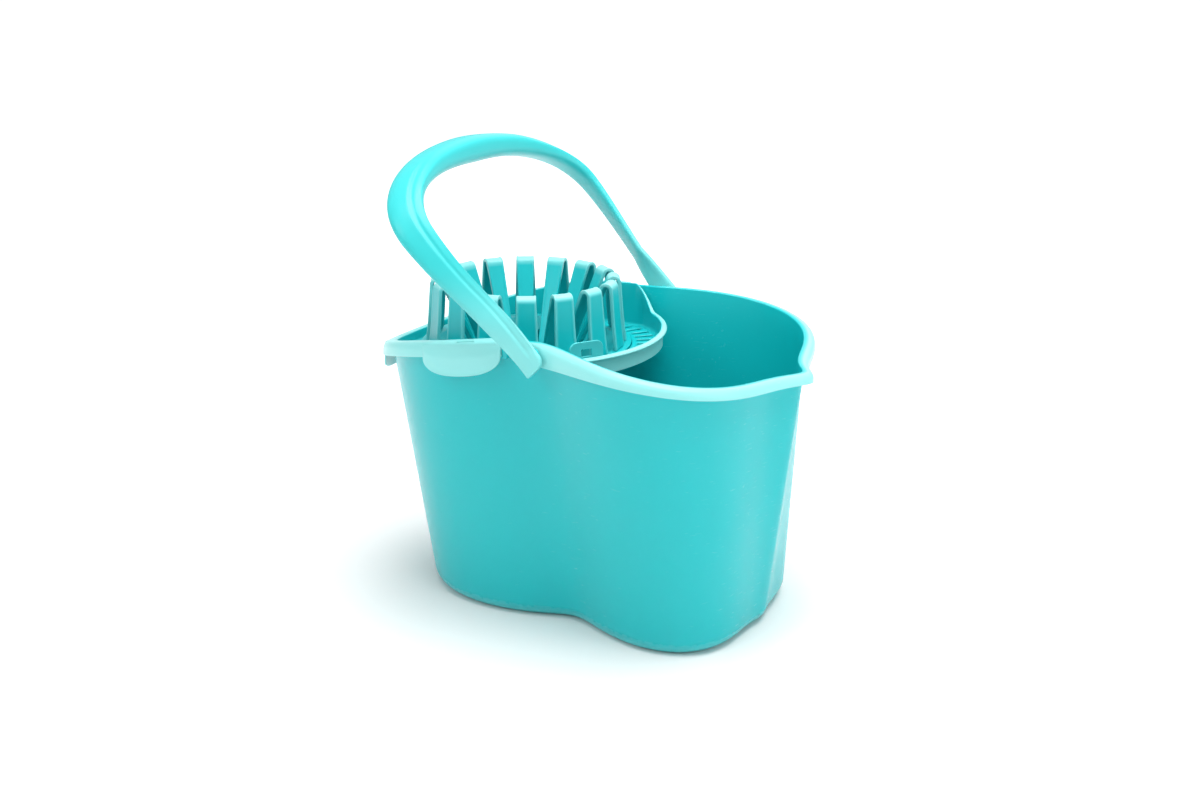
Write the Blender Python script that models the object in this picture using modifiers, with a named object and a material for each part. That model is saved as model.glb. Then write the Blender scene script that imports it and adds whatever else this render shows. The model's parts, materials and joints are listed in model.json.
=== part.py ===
"""Waisted mop bucket with a press-in cone wringer and a swinging bail.

Metres, +Z up. The origin is on the base, straight below the bail's pivot axis (the Y direction).
+X runs to the pouring spout and -X to the end that carries the wringer.
"""

import math

import bmesh
import bpy
import numpy as np
from mathutils import Matrix, Vector

# ---------------------------------------------------------------- driving dimensions
# Bucket plan: distances from the pivot axis, every 30 degrees from the spout end to the wringer end.
RIM_RADII = (0.1660, 0.1776, 0.1556, 0.1133, 0.1430, 0.1810, 0.1965)
BASE_RADII = (0.1460, 0.1560, 0.1010, 0.0760, 0.1010, 0.1400, 0.1540)
# Height of the rim above the base at the same angles: it rises towards the pivots.
RIM_HEIGHTS = (0.2213, 0.2270, 0.2412, 0.2472, 0.2409, 0.2221, 0.2070)
SPOUT_REACH = 0.0205          # how far the spout's tip stands out of the rim
SPOUT_SPREAD = 0.120          # half angle of the spout, radians
SPOUT_SOFTEN = 0.050          # half angle over which its tip is rounded
SPOUT_AT_BASE = 0.0060        # what is left of the spout's fold at the base
WALL = 0.0021
FLOOR_WALL = 0.0026
BASE_ROUND = 0.0150           # radius of the bottom edge
RIM_OVERHANG = 0.0080         # visible rim, outside the wall
RIM_WALL = 0.0020
SKIRT_AT_SPOUT = 0.0078       # drop of the turned-down rim
SKIRT_AT_PIVOT = 0.0170
SKIRT_SPREAD = math.radians(28)
CAPPED_SKIRT = 0.0055         # drop of the rim where the wringer's cap hides it

# Bail and its pivots
PIVOT_DROP = 0.0112           # pivot axis below the rim
BAIL_REACH = 0.1886           # pivot axis to the middle of the grip
BAIL_LEAN = math.radians(43.5)
BAIL_BULGE = 0.0157           # how much wider the bail is at its widest than at its pivots
BAIL_WIDEST = 0.65            # where that is, as a share of the reach
BAIL_CROWN = 2.2              # roundness of the top of the bail
BAND_WIDTHS = (0.0205, 0.0215, 0.0290, 0.0280, 0.0300)      # pivot to grip
BAND_THICKNESSES = (0.0068, 0.0085, 0.0120, 0.0185, 0.0230)
BAND_CANT = math.radians(37)
BAND_OFFSET = 0.0015          # the band's middle line lies this far ahead of the pivots
HUB_RADIUS = 0.0090
HUB_OUTER = 0.0096            # outer face of the band at the pivots, from the boss face
TAIL_LENGTH = 0.0107          # the band runs on below the pivots
TAIL_ROUND = 0.0075           # rounded corner at the spout's side of the tail
STUD_RADIUS = 0.0040
STUD_CLEARANCE = 0.0005
BOSS_RADIUS = 0.0076
BOSS_PROUD = 0.0016           # boss face outside the rim
BOSS_ROOT = 0.0024            # depth of the boss behind the wall's outer face, at the rim
FACET_START = 0.0080          # the full rim ends at this X, on both sides ...
FACET_END = -0.0050           # ... and a slanted facet takes it back by here, behind the bail
GAP_WRINGER_SIDE = 0.0288     # the wringer's cap ends this far from the pivots
RIM_UNDER_CAP = 0.0065        # the full rim stops this much further back, inside the cap's end
SET_BACK = 0.55               # share of the overhang that the rim keeps behind the bail
SET_BACK_SKIRT = 0.0115

# Wringer insert
END_LEDGE = 0.0200            # ledge between the cone's collar and the wall at the wringer end
COLLAR_RADIUS = 0.0900
LIP_LEDGE = 0.0250            # ledge between the collar and the dividing lip across the waist
LIP_RADIUS = COLLAR_RADIUS + LIP_LEDGE
LIP_HEIGHT = 0.2275           # top of the lip in the middle of the bucket
LIP_BEAD = 0.0030
LEDGE_HEIGHT = 0.2075         # ledge on the cone's axis
LEDGE_SLOPE = 0.060           # it rises towards the spout
TRAY_WALL = 0.0018
FIT_GAP = 0.0005              # insert to bucket
CAP_SKIRT = 0.0125
JOIN_GAP = 0.0003             # pieces of one moulding that are modelled apart

COLLAR_TOP = 0.2140
COLLAR_INNER = 0.0780
CUP_RADIUS = 0.0370
CUP_TOP = 0.1880
CONE_FLOOR = 0.1630
CONE_WALL = 0.0025
DRAIN_RADIUS = 0.0035

FINGER_COUNT = 16
FIRST_FINGER = math.radians(9.0)
FINGER_ROOT = 0.0840          # outer leg's foot, from the cone's axis
FINGER_TOP_RADIUS = 0.0745
FINGER_TOP = 0.2705
FINGER_FOLD = 0.0045          # radius of the fold at the top
FINGER_THICKNESS = 0.0026
FINGER_FOOT_WIDTH = 0.0195
FINGER_TOP_WIDTH = 0.0158
FINGER_END_WIDTH = 0.0100

FLAP_ANGLES = {"front_lift_flap": math.radians(-116), "rear_lift_flap": math.radians(116),
               "end_lift_flap": math.radians(-171)}
FLAP_WIDTH = 0.0660
FLAP_DROP = 0.0150            # below the cap's skirt
FLAP_THICKNESS = 0.0022
TAB_ANGLE = math.radians(-34)
TAB_WIDTH = 0.0300
TAB_HEIGHT = 0.0240
TAB_THICKNESS = 0.0022
TAB_WINDOW = (0.0090, 0.0060)

TURN = 2 * math.pi


# ---------------------------------------------------------------- scene
def empty_scene():
    for obj in list(bpy.data.objects):
        bpy.data.objects.remove(obj, do_unlink=True)
    for collection in list(bpy.data.collections):
        bpy.data.collections.remove(collection)


def new_collection(name):
    collection = bpy.data.collections.new(name)
    bpy.context.scene.collection.children.link(collection)
    return collection


def plastic(name, colour, roughness):
    material = bpy.data.materials.new(name)
    material.use_nodes = True
    shader = material.node_tree.nodes["Principled BSDF"]
    shader.inputs["Base Color"].default_value = (*colour, 1.0)
    shader.inputs["Roughness"].default_value = roughness
    shader.inputs["Metallic"].default_value = 0.0
    return material


def solid(name, points, faces, collection, material=None):
    """One mesh object from points and faces, its normals made to face outwards."""
    mesh = bpy.data.meshes.new(name)
    mesh.from_pydata([tuple(map(float, point)) for point in points], [], faces)
    work = bmesh.new()
    work.from_mesh(mesh)
    bmesh.ops.recalc_face_normals(work, faces=work.faces)
    work.to_mesh(mesh)
    work.free()
    obj = bpy.data.objects.new(name, mesh)
    collection.objects.link(obj)
    if material:
        mesh.materials.append(material)
    return obj


def as_cutter(obj):
    obj.hide_render = True
    obj.display_type = "WIRE"
    return obj


def combine(target, tool, operation):
    modifier = target.modifiers.new(operation.title(), "BOOLEAN")
    modifier.operation = operation
    modifier.solver = "EXACT"
    modifier.object = tool


def smooth(obj, angle=40):
    obj.data.shade_smooth()
    obj.data.set_sharp_from_angle(angle=math.radians(angle))


# ---------------------------------------------------------------- plan curves
def even_series(values):
    """Cosine series through values at equal steps of angle from 0 to 180 degrees."""
    steps = np.arange(len(values))
    angles = steps * math.pi / (len(values) - 1)
    return np.linalg.solve(np.cos(np.outer(angles, steps)), values)


def read_series(series, angle):
    return np.cos(np.multiply.outer(angle, np.arange(len(series)))) @ series


RIM_SERIES = even_series(RIM_RADII)
BASE_SERIES = even_series(BASE_RADII)
HEIGHT_SERIES = even_series(RIM_HEIGHTS)
OUTLINE_SAMPLES = 720


def wrapped(angle):
    return (np.asarray(angle) + math.pi) % TURN - math.pi


def inset_points(inset):
    """The rim's outline without its spout, moved inwards along its normals."""
    angle = np.linspace(-math.pi, math.pi, OUTLINE_SAMPLES, endpoint=False)
    radius = read_series(RIM_SERIES, angle)
    points = np.column_stack([radius * np.cos(angle), radius * np.sin(angle)])
    along = np.roll(points, -1, axis=0) - np.roll(points, 1, axis=0)
    outward = np.column_stack([along[:, 1], -along[:, 0]])
    outward /= np.linalg.norm(outward, axis=1)[:, None]
    return points - inset * outward


def polar_reader(points, centre=0.0):
    """Radius of a closed outline as a function of the angle around (centre, 0)."""
    angle = np.arctan2(points[:, 1], points[:, 0] - centre)
    radius = np.hypot(points[:, 0] - centre, points[:, 1])
    order = np.argsort(angle)
    return lambda at: np.interp(wrapped(at), angle[order], radius[order], period=TURN)


def spout(angle, reach):
    """Fold of the spout: it falls off exponentially on both sides of a rounded tip."""
    turn = np.hypot(wrapped(angle), SPOUT_SOFTEN) - SPOUT_SOFTEN
    return reach * np.exp(-turn / SPOUT_SPREAD)


def rim_radius(angle, inset):
    return polar_reader(inset_points(inset))(angle) + spout(angle, SPOUT_REACH)


def rim_height(angle):
    return read_series(HEIGHT_SERIES, wrapped(angle))


def base_radius(angle):
    return read_series(BASE_SERIES, wrapped(angle)) + spout(angle, SPOUT_AT_BASE)


def wall_radius(angle, height, inset):
    """Outer face of the tapered wall at a height; inset 0 is the outer face."""
    share = height / rim_height(angle)
    return base_radius(angle) * (1 - share) + rim_radius(angle, RIM_OVERHANG) * share - inset


PIVOT_RIM = float(rim_height(math.pi / 2))
PIVOT_HEIGHT = PIVOT_RIM - PIVOT_DROP
WAIST = float(rim_radius(math.pi / 2, 0))
BOSS_FACE = WAIST + BOSS_PROUD                # flat face that the bail's hub turns on
CAP_INSET = TRAY_WALL + FIT_GAP               # bucket's own rim sits this far inside the cap


# ---------------------------------------------------------------- lofts
def loft_tube(sections, name, collection, material):
    """Closed ring of closed sections: every section joins the next, and the last the first."""
    count, size = len(sections), len(sections[0])
    points = [point for section in sections for point in section]
    faces = []
    for row in range(count):
        ahead = (row + 1) % count
        for side in range(size):
            beside = (side + 1) % size
            faces.append((row * size + side, row * size + beside,
                          ahead * size + beside, ahead * size + side))
    return solid(name, points, faces, collection, material)


def loft_rod(sections, name, collection, material):
    """Open run of closed sections with a flat cap on each end."""
    count, size = len(sections), len(sections[0])
    points = [point for section in sections for point in section]
    faces = [tuple(range(size)), tuple(range((count - 1) * size, count * size))]
    for row in range(count - 1):
        for side in range(size):
            beside = (side + 1) % size
            faces.append((row * size + side, row * size + beside,
                          (row + 1) * size + beside, (row + 1) * size + side))
    return solid(name, points, faces, collection, material)


def loft_bowl(rings, first, last, name, collection, material):
    """Rings of points joined in order, closed by a fan to a point at each end."""
    count, size = len(rings), len(rings[0])
    points = [point for ring in rings for point in ring] + [first, last]
    faces = []
    for side in range(size):
        beside = (side + 1) % size
        faces.append((side, beside, count * size))
        faces.append(((count - 1) * size + side, (count - 1) * size + beside, count * size + 1))
        for row in range(count - 1):
            faces.append((row * size + side, row * size + beside,
                          (row + 1) * size + beside, (row + 1) * size + side))
    return solid(name, points, faces, collection, material)


def plate(name, outline, thickness, collection, material):
    """Flat outline in X and Z, thickness along Y and centred on it, as a filled 2D curve."""
    curve = bpy.data.curves.new(name, "CURVE")
    curve.dimensions = "2D"
    curve.fill_mode = "BOTH"
    curve.extrude = thickness / 2
    for loop in outline:
        spline = curve.splines.new("POLY")
        spline.points.add(len(loop) - 1)
        for point, (across, up) in zip(spline.points, loop):
            point.co = (across, up, 0, 1)
        spline.use_cyclic_u = True
    holder = bpy.data.objects.new(name + "_curve", curve)
    collection.objects.link(holder)
    bpy.context.view_layer.update()
    evaluated = holder.evaluated_get(bpy.context.evaluated_depsgraph_get())
    mesh = bpy.data.meshes.new_from_object(evaluated)
    bpy.data.objects.remove(holder, do_unlink=True)
    work = bmesh.new()
    work.from_mesh(mesh)
    bmesh.ops.remove_doubles(work, verts=work.verts, dist=1e-6)
    bmesh.ops.rotate(work, verts=work.verts, matrix=Matrix.Rotation(math.pi / 2, 3, "X"))
    bmesh.ops.recalc_face_normals(work, faces=work.faces)
    work.to_mesh(mesh)
    work.free()
    mesh.name = name
    mesh.materials.clear()
    obj = bpy.data.objects.new(name, mesh)
    collection.objects.link(obj)
    if material:
        mesh.materials.append(material)
    return obj


def cylinder(name, radius, near, far, centre, collection, sides=32):
    """Cylinder along Y between near and far, on the line through centre (x, z)."""
    bpy.ops.mesh.primitive_cylinder_add(vertices=sides, radius=radius, depth=abs(far - near))
    obj = bpy.context.active_object
    obj.data.transform(Matrix.Rotation(math.pi / 2, 4, "X"))
    obj.data.transform(Matrix.Translation((centre[0], (near + far) / 2, centre[1])))
    return filed(obj, name, collection)


def box(name, low, high, collection):
    bpy.ops.mesh.primitive_cube_add(size=1.0)
    obj = bpy.context.active_object
    low, high = Vector(low), Vector(high)
    obj.data.transform(Matrix.Diagonal((*(high - low), 1.0)))
    obj.data.transform(Matrix.Translation((low + high) / 2))
    return filed(obj, name, collection)


def filed(obj, name, collection):
    obj.name = name
    obj.data.name = name
    for old in list(obj.users_collection):
        old.objects.unlink(obj)
    collection.objects.link(obj)
    return obj


def joined(objects):
    """The meshes of several objects as separate bodies of the first one."""
    work = bmesh.new()
    for obj in objects:
        work.from_mesh(obj.data)
    work.to_mesh(objects[0].data)
    work.free()
    for obj in objects[1:]:
        bpy.data.objects.remove(obj, do_unlink=True)
    return objects[0]


# ---------------------------------------------------------------- bucket
def rim_angle(x):
    """Angle, on the rear half, of the rim's outer edge at an X near the waist."""
    angle = np.linspace(math.radians(60), math.radians(120), 241)
    return float(np.interp(-x, -rim_radius(angle, 0) * np.cos(angle), angle))


def bucket_angles():
    """Even steps of angle, closer ones by the spout's fold, and exact ones where the rim changes."""
    even = np.arange(-84, 84) * TURN / 168
    keep = even[np.abs(even) > math.radians(19)][::2]
    near = np.radians([1.2, 3, 5.5, 8.5, 12, 16])
    step = math.radians(0.15)
    hidden = rim_angle(-GAP_WRINGER_SIDE - RIM_UNDER_CAP)
    changes = np.array([rim_angle(FACET_START), rim_angle(FACET_END), hidden - step, hidden + step])
    far_off = np.min(np.abs(np.abs(keep)[:, None] - changes), axis=1) > math.radians(1.2)
    return np.sort(np.concatenate([keep[far_off], near, -near, changes, -changes, [0.0]]))


def skirt_drop(angle):
    """Turned-down rim: deepest beside the pivots."""
    from_pivot = math.pi / 2 - np.abs(wrapped(angle))
    depth = (SKIRT_AT_PIVOT - SKIRT_AT_SPOUT) * np.exp(-(from_pivot / SKIRT_SPREAD) ** 2)
    return SKIRT_AT_SPOUT + depth


def ring_at(angle, radius, height):
    return np.column_stack([radius * np.cos(angle), radius * np.sin(angle), height + 0 * angle])


def make_bucket(collection, cutters, material):
    angle = bucket_angles()
    top = rim_height(angle)
    turn_in = np.abs(wrapped(angle))
    capped = turn_in > rim_angle(-GAP_WRINGER_SIDE - RIM_UNDER_CAP)
    taken_back = np.interp(turn_in, [rim_angle(FACET_START), rim_angle(FACET_END)], [0.0, 1.0])
    wall = rim_radius(angle, RIM_OVERHANG)
    brim = np.where(capped, rim_radius(angle, CAP_INSET), rim_radius(angle, 0)) - wall
    brim_share = np.where(capped, 1.0, 1 - (1 - SET_BACK) * taken_back)
    skirt = skirt_drop(angle) * (1 - taken_back) + SET_BACK_SKIRT * taken_back
    drop = np.where(capped, CAPPED_SKIRT, skirt)
    under = RIM_WALL * 1.2

    def brim_ring(outset, height):
        return ring_at(angle, wall + outset * brim_share, height)

    rings = []
    corner = wall_radius(angle, BASE_ROUND, 0)
    for turn in np.radians([-90, -55, -25, 0]):
        radius = corner - BASE_ROUND + BASE_ROUND * math.cos(turn)
        rings.append(ring_at(angle, radius, BASE_ROUND + BASE_ROUND * math.sin(turn)))
    rings.append(ring_at(angle, wall, top - under - 0.0015))
    rings.append(brim_ring(0.0015, top - under))
    rings.append(brim_ring(brim - RIM_WALL, top - under))
    rings.append(brim_ring(brim - RIM_WALL, top - drop))
    rings.append(brim_ring(brim, top - drop))
    rings.append(brim_ring(brim, top - 0.0022))
    rings.append(brim_ring(brim - 0.0007, top - 0.0007))
    rings.append(brim_ring(brim - 0.0022, top))
    rings.append(ring_at(angle, wall - WALL + 0.0012, top))
    rings.append(ring_at(angle, wall - WALL, top - 0.0012))
    inside = BASE_ROUND - WALL
    for turn in np.radians([0, -25, -55, -90]):
        radius = corner - BASE_ROUND + inside * math.cos(turn)
        rings.append(ring_at(angle, radius, FLOOR_WALL + inside + inside * math.sin(turn)))
    bucket = loft_bowl(rings, (0, 0, 0), (0, 0, FLOOR_WALL), "bucket", collection, material)

    for side in (-1, 1):
        label = "front" if side < 0 else "rear"
        boss = cylinder(label + "_boss", BOSS_RADIUS, side * (WAIST - RIM_OVERHANG - BOSS_ROOT),
                        side * BOSS_FACE, (0, PIVOT_HEIGHT), cutters)
        combine(bucket, as_cutter(boss), "UNION")
        bore = cylinder(label + "_bore", STUD_RADIUS + STUD_CLEARANCE, side * (BOSS_FACE - 0.02),
                        side * (BOSS_FACE + 0.01), (0, PIVOT_HEIGHT), cutters)
        combine(bucket, as_cutter(bore), "DIFFERENCE")
    smooth(bucket)
    return bucket


# ---------------------------------------------------------------- bail
def bail_path(samples=47):
    """Middle line of the bail in (Y, height above the pivots), from the front tail to the rear one."""
    half_span = BOSS_FACE + HUB_OUTER - BAND_THICKNESSES[0] / 2
    widest = half_span + BAIL_BULGE
    low = BAIL_WIDEST * BAIL_REACH
    height = np.linspace(0, low, 60)
    side = half_span + BAIL_BULGE * np.sin(height / low * math.pi / 2) ** 2
    sweep = np.linspace(0, math.pi / 2, 120)[1:]
    crown_side = widest * np.cos(sweep) ** (2 / BAIL_CROWN)
    crown_height = low + (BAIL_REACH - low) * np.sin(sweep) ** (2 / BAIL_CROWN)
    half = np.column_stack([np.r_[side, crown_side], np.r_[height, crown_height]])
    whole = np.vstack([half * (-1, 1), half[::-1][1:]])
    length = np.r_[0, np.cumsum(np.linalg.norm(np.diff(whole, axis=0), axis=1))]
    at = np.linspace(0, length[-1], samples)
    arch = np.column_stack([np.interp(at, length, whole[:, 0]), np.interp(at, length, whole[:, 1])])
    tail = np.column_stack([np.full(5, half_span), -TAIL_LENGTH * np.array([1, 0.94, 0.8, 0.55, 0.3])])
    share = 1 - np.abs(np.linspace(-1, 1, samples))
    share = np.r_[np.zeros(5), share, np.zeros(5)]
    return np.vstack([tail * (-1, 1), arch, tail[::-1]]), share


def band_section(corners=12, squareness=3.2):
    turn = np.arange(corners) * TURN / corners + TURN / corners / 2
    cos, sin = np.cos(turn), np.sin(turn)
    size = (np.abs(cos) ** squareness + np.abs(sin) ** squareness) ** (-1 / squareness)
    return np.column_stack([cos * size, sin * size]) / 2


def make_bail(collection, cutters, material):
    path, share = bail_path()
    along = np.gradient(path, axis=0)
    along /= np.linalg.norm(along, axis=1)[:, None]
    stops = np.linspace(0, 1, len(BAND_WIDTHS))
    width = np.interp(share, stops, BAND_WIDTHS)
    thickness = np.interp(share, stops, BAND_THICKNESSES)
    cant = BAND_CANT * np.clip(share / 0.16, 0, 1) ** 1.5
    ahead = BAND_OFFSET * np.clip(1 - share / 0.3, 0, 1)
    below = np.clip((-path[:, 1] - TAIL_LENGTH + TAIL_ROUND) / TAIL_ROUND, 0, 1)
    rounding = TAIL_ROUND * (1 - np.sqrt(1 - below ** 2))
    width = width - rounding
    ahead = ahead - rounding / 2
    outline = band_section()
    sections = []
    for index, (side, up) in enumerate(path):
        tilt = cant[index]
        outward = Vector((0, -along[index, 1], along[index, 0]))
        wide_way = Vector((1, 0, 0)) * math.cos(tilt) - outward * math.sin(tilt)
        thin_way = Vector((1, 0, 0)) * math.sin(tilt) + outward * math.cos(tilt)
        middle = Vector((ahead[index], side, up))
        wide, thick = width[index], thickness[index]
        sections.append([middle + wide_way * (a * wide) + thin_way * (b * thick) for a, b in outline])
    bail = loft_rod(sections, "bail_handle", collection, material)

    inner, band_middle = BOSS_FACE + JOIN_GAP, BOSS_FACE + HUB_OUTER - BAND_THICKNESSES[0] / 2
    for side in (-1, 1):
        label = "front" if side < 0 else "rear"
        hub = cylinder(label + "_hub", HUB_RADIUS, side * inner, side * band_middle, (0, 0), cutters, 40)
        stud = cylinder(label + "_stud", STUD_RADIUS, side * (BOSS_FACE - 0.0062), side * (inner + 0.001),
                        (0, 0), cutters)
        for piece in (hub, stud):
            combine(bail, as_cutter(piece), "UNION")
    for obj in [bail] + [modifier.object for modifier in bail.modifiers]:
        obj.location = (0, 0, PIVOT_HEIGHT)
        obj.rotation_euler = (0, -BAIL_LEAN, 0)
    smooth(bail)
    return bail


# ---------------------------------------------------------------- wringer insert
RIM_END = float(rim_radius(math.pi, RIM_OVERHANG + WALL + FIT_GAP + TRAY_WALL))
WRINGER_X = -(RIM_END - END_LEDGE - COLLAR_RADIUS)       # the cone's axis
CAP_START = -GAP_WRINGER_SIDE - JOIN_GAP                 # the cap ends here, beside the bail


def ledge_height(x):
    return LEDGE_HEIGHT + LEDGE_SLOPE * (x - WRINGER_X)


def tray_readers():
    """Radii around the cone's axis of the cap's two faces and of the tray's wall, high and low."""
    angle = np.linspace(-math.pi, math.pi, OUTLINE_SAMPLES, endpoint=False)
    top = rim_height(angle)
    x = wall_radius(angle, top, 0) * np.cos(angle)
    low = ledge_height(x) - TRAY_WALL
    readers = {"cap": polar_reader(inset_points(0), WRINGER_X),
               "lining": polar_reader(inset_points(TRAY_WALL), WRINGER_X)}
    for name, height in (("high", top), ("low", low)):
        radius = wall_radius(angle, height, WALL + FIT_GAP)
        points = np.column_stack([radius * np.cos(angle), radius * np.sin(angle)])
        readers[name] = polar_reader(points, WRINGER_X)
    return readers


def rim_at(radius, angle):
    """Rim height above a point given by its place round the cone's axis."""
    return float(rim_height(math.atan2(radius * math.sin(angle), WRINGER_X + radius * math.cos(angle))))


def tray_section(angle, reader, edge):
    """Cross-section of the tray at one angle round the cone's axis, as (radius, height) points.

    edge is "cap" over the bucket's rim, "lip" across the bucket, and "stub" where the cap shrinks away.
    """
    high, low = float(reader["high"](angle)), float(reader["low"](angle))
    outside = min(high, LIP_RADIUS + TRAY_WALL)
    outside_low = min(low, LIP_RADIUS + TRAY_WALL)
    inside, inside_low = outside - TRAY_WALL, outside_low - TRAY_WALL
    floor = ledge_height(WRINGER_X + inside_low * math.cos(angle))
    near_wall = max(0.0, 1 - (high - outside) / 0.030)
    crest = rim_at(inside, angle) + JOIN_GAP + TRAY_WALL
    top = LIP_HEIGHT + (crest - LIP_HEIGHT) * near_wall ** 2 if edge == "lip" else crest
    hole = COLLAR_RADIUS + JOIN_GAP
    points = [(hole, floor - TRAY_WALL), (hole, floor), (inside_low - 0.002, floor),
              (inside_low, floor + 0.002), (inside, top - 0.0010), (inside + 0.0010, top)]
    if edge == "cap":
        outer, lining = float(reader["cap"](angle)), float(reader["lining"](angle))
        brow = rim_at(outer, angle) + JOIN_GAP + TRAY_WALL
        points += [(outer - 0.0022, brow), (outer, brow - 0.0022), (outer, brow - CAP_SKIRT),
                   (lining, brow - CAP_SKIRT), (lining, brow - TRAY_WALL), (outside, crest - TRAY_WALL)]
    elif edge == "stub":
        drops = ((0.0006, 0.0), (0.0009, 0.0003), (0.0009, 0.0012), (0.0006, 0.0015), (0.0003, 0.0016))
        points += [(outside + out, top - down) for out, down in drops]
        points.append((outside, top - TRAY_WALL))
    else:
        bead = LIP_BEAD * (1 - near_wall)
        points += [(outside + bead * 0.75 - 0.0002, top), (outside + bead, top - 0.0008),
                   (outside + bead, top - 0.0024), (outside + bead * 0.75, top - 0.0028),
                   (outside + bead * 0.2, top - 0.0030), (outside, top - 0.0034)]
    points.append((outside_low, floor - TRAY_WALL))
    return points


def slot_cutters(cutters, reader):
    """Radial drain slots through the ledge, and a row of them closer together beside the lip."""
    blades = []
    step = math.radians(7.5)
    for index in range(48):
        angle = index * step
        if 2 * math.pi - 0.1 < angle < 0.1:
            continue
        reach = min(float(reader["low"](angle)) - TRAY_WALL, LIP_RADIUS) - 0.0045
        start = COLLAR_RADIUS + 0.0045
        if reach - start < 0.008:
            continue
        reach = min(reach, start + 0.022)
        middle = (start + reach) / 2
        height = ledge_height(WRINGER_X + middle * math.cos(angle))
        blade = box("slot", (start, -0.0021, height - 0.010), (reach, 0.0021, height + 0.0100), cutters)
        turn = Matrix.Translation((WRINGER_X, 0, 0)) @ Matrix.Rotation(angle, 4, "Z")
        blade.data.transform(turn)
        blades.append(blade)
    tool = joined(blades)
    tool.name = "ledge_slots"
    return as_cutter(tool)


def flap_frame(angle, outset):
    """Point on the cap's outer face at a plan angle, and the outward and sideways directions."""
    step = 0.01
    around = np.array([angle - step, angle, angle + step])
    radius = polar_reader(inset_points(-outset))(around)
    points = np.column_stack([radius * np.cos(around), radius * np.sin(around)])
    along = Vector((*(points[2] - points[0]), 0)).normalized()
    outward = Vector((along.y, -along.x, 0))
    return Vector((*points[1], float(rim_height(angle)))), outward, along


def make_tray(collection, cutters, material):
    reader = tray_readers()
    angles = np.radians(np.arange(0, 360, 4.0))
    outer = reader["cap"](angles)
    x = WRINGER_X + outer * np.cos(angles)
    fine = np.radians(np.arange(0, 180, 0.02))
    fine_x = WRINGER_X + reader["cap"](fine) * np.cos(fine)
    end = float(fine[np.argmax(fine_x < CAP_START)])
    capped = x < CAP_START
    past, beyond = end - 0.034, end - 0.040
    ends = [(past, "cap"), (beyond, "stub"), (TURN - past, "cap"), (TURN - beyond, "stub")]
    close = math.radians(2.2)
    stations = [(angle, "cap" if on else "lip") for angle, on in zip(angles, capped)
                if min(abs(angle - past), abs(angle - TURN + past)) > close]
    stations = sorted(stations + ends)
    sections = []
    for angle, edge in stations:
        section = tray_section(angle, reader, edge)
        sections.append([(WRINGER_X + r * math.cos(angle), r * math.sin(angle), z) for r, z in section])
    tray = loft_tube(sections, "wringer_tray", collection, material)
    behind_wall = float(reader["high"](beyond)) * math.sin(beyond) + FIT_GAP / 3
    for side in (-1, 1):
        low_y, high_y = sorted((side * behind_wall, side * (WAIST + 0.010)))
        cut = box("front_cap_end" if side < 0 else "rear_cap_end", (CAP_START, low_y, PIVOT_RIM - 0.03),
                  (CAP_START + 0.009, high_y, PIVOT_RIM + 0.01), cutters)
        combine(tray, as_cutter(cut), "DIFFERENCE")
    combine(tray, slot_cutters(cutters, reader), "DIFFERENCE")
    for name, angle in FLAP_ANGLES.items():
        point, outward, along = flap_frame(angle, -0.0036)
        cut = box(name + "_slot", (-0.0011, -0.0075, -0.006), (0.0011, 0.0075, 0.010), cutters)
        cut.data.transform(placed(point, outward, along))
        combine(tray, as_cutter(cut), "DIFFERENCE")
    smooth(tray)
    return tray


def placed(point, outward, along):
    """Matrix that puts local X outward, local Y along the rim and local Z up at a point."""
    matrix = Matrix((outward, along, Vector((0, 0, 1)))).transposed().to_4x4()
    matrix.translation = point
    return matrix


def make_flap(name, angle, collection, material):
    """Half-round plate that hangs outside the cap and follows its curve."""
    columns, rows = 15, 4
    half = FLAP_WIDTH / 2
    middle_radius = float(polar_reader(inset_points(0))(angle))
    sections = []
    for share in np.linspace(-1, 1, columns):
        at = angle + share * half / middle_radius
        point, outward, _ = flap_frame(at, JOIN_GAP)
        crest = point.z + JOIN_GAP + TRAY_WALL
        top = crest - 0.0030
        depth = FLAP_DROP * math.sqrt(max(0.0, 1 - abs(share) ** 2.4)) + CAP_SKIRT - 0.0030
        low = top - depth
        flare = 0.0012 * (1 - share ** 2)
        near = [(0, top), (0, low)]
        far = [(FLAP_THICKNESS * 0.5 + flare, low), (FLAP_THICKNESS, low + 0.0012),
               (FLAP_THICKNESS * 0.75, top - 0.001), (FLAP_THICKNESS * 0.3, top)]
        sections.append([point + outward * out + Vector((0, 0, z - point.z)) for out, z in near + far])
    flap = loft_rod(sections, name, collection, material)
    smooth(flap)
    return flap


def make_tab(collection, material):
    """Upright tab with rounded shoulders and a small square window, just inside the lip."""
    half, high, radius = TAB_WIDTH / 2, TAB_HEIGHT, 0.006
    shoulder = [(half - radius + radius * math.sin(turn), high - radius + radius * math.cos(turn))
                for turn in np.radians([0, 30, 60, 90])]
    mirrored = [(-across, up) for across, up in reversed(shoulder)]
    rim = mirrored + shoulder + [(half, 0), (-half, 0)]
    wide, tall = TAB_WINDOW
    low = high - 0.0120
    window = [(-wide / 2, low), (wide / 2, low), (wide / 2, low + tall), (-wide / 2, low + tall)]
    tab = plate("lip_tab", [rim, window], TAB_THICKNESS, collection, material)
    radius = LIP_RADIUS - JOIN_GAP - TAB_THICKNESS / 2 - (LIP_RADIUS - math.sqrt(LIP_RADIUS ** 2 - half ** 2))
    x = WRINGER_X + radius * math.cos(TAB_ANGLE)
    foot = ledge_height(x) + 0.0030
    tab.matrix_world = (Matrix.Translation((WRINGER_X, 0, foot)) @ Matrix.Rotation(TAB_ANGLE, 4, "Z")
                        @ Matrix.Translation((radius, 0, 0)) @ Matrix.Rotation(math.pi / 2, 4, "Z"))
    smooth(tab)
    return tab


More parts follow.
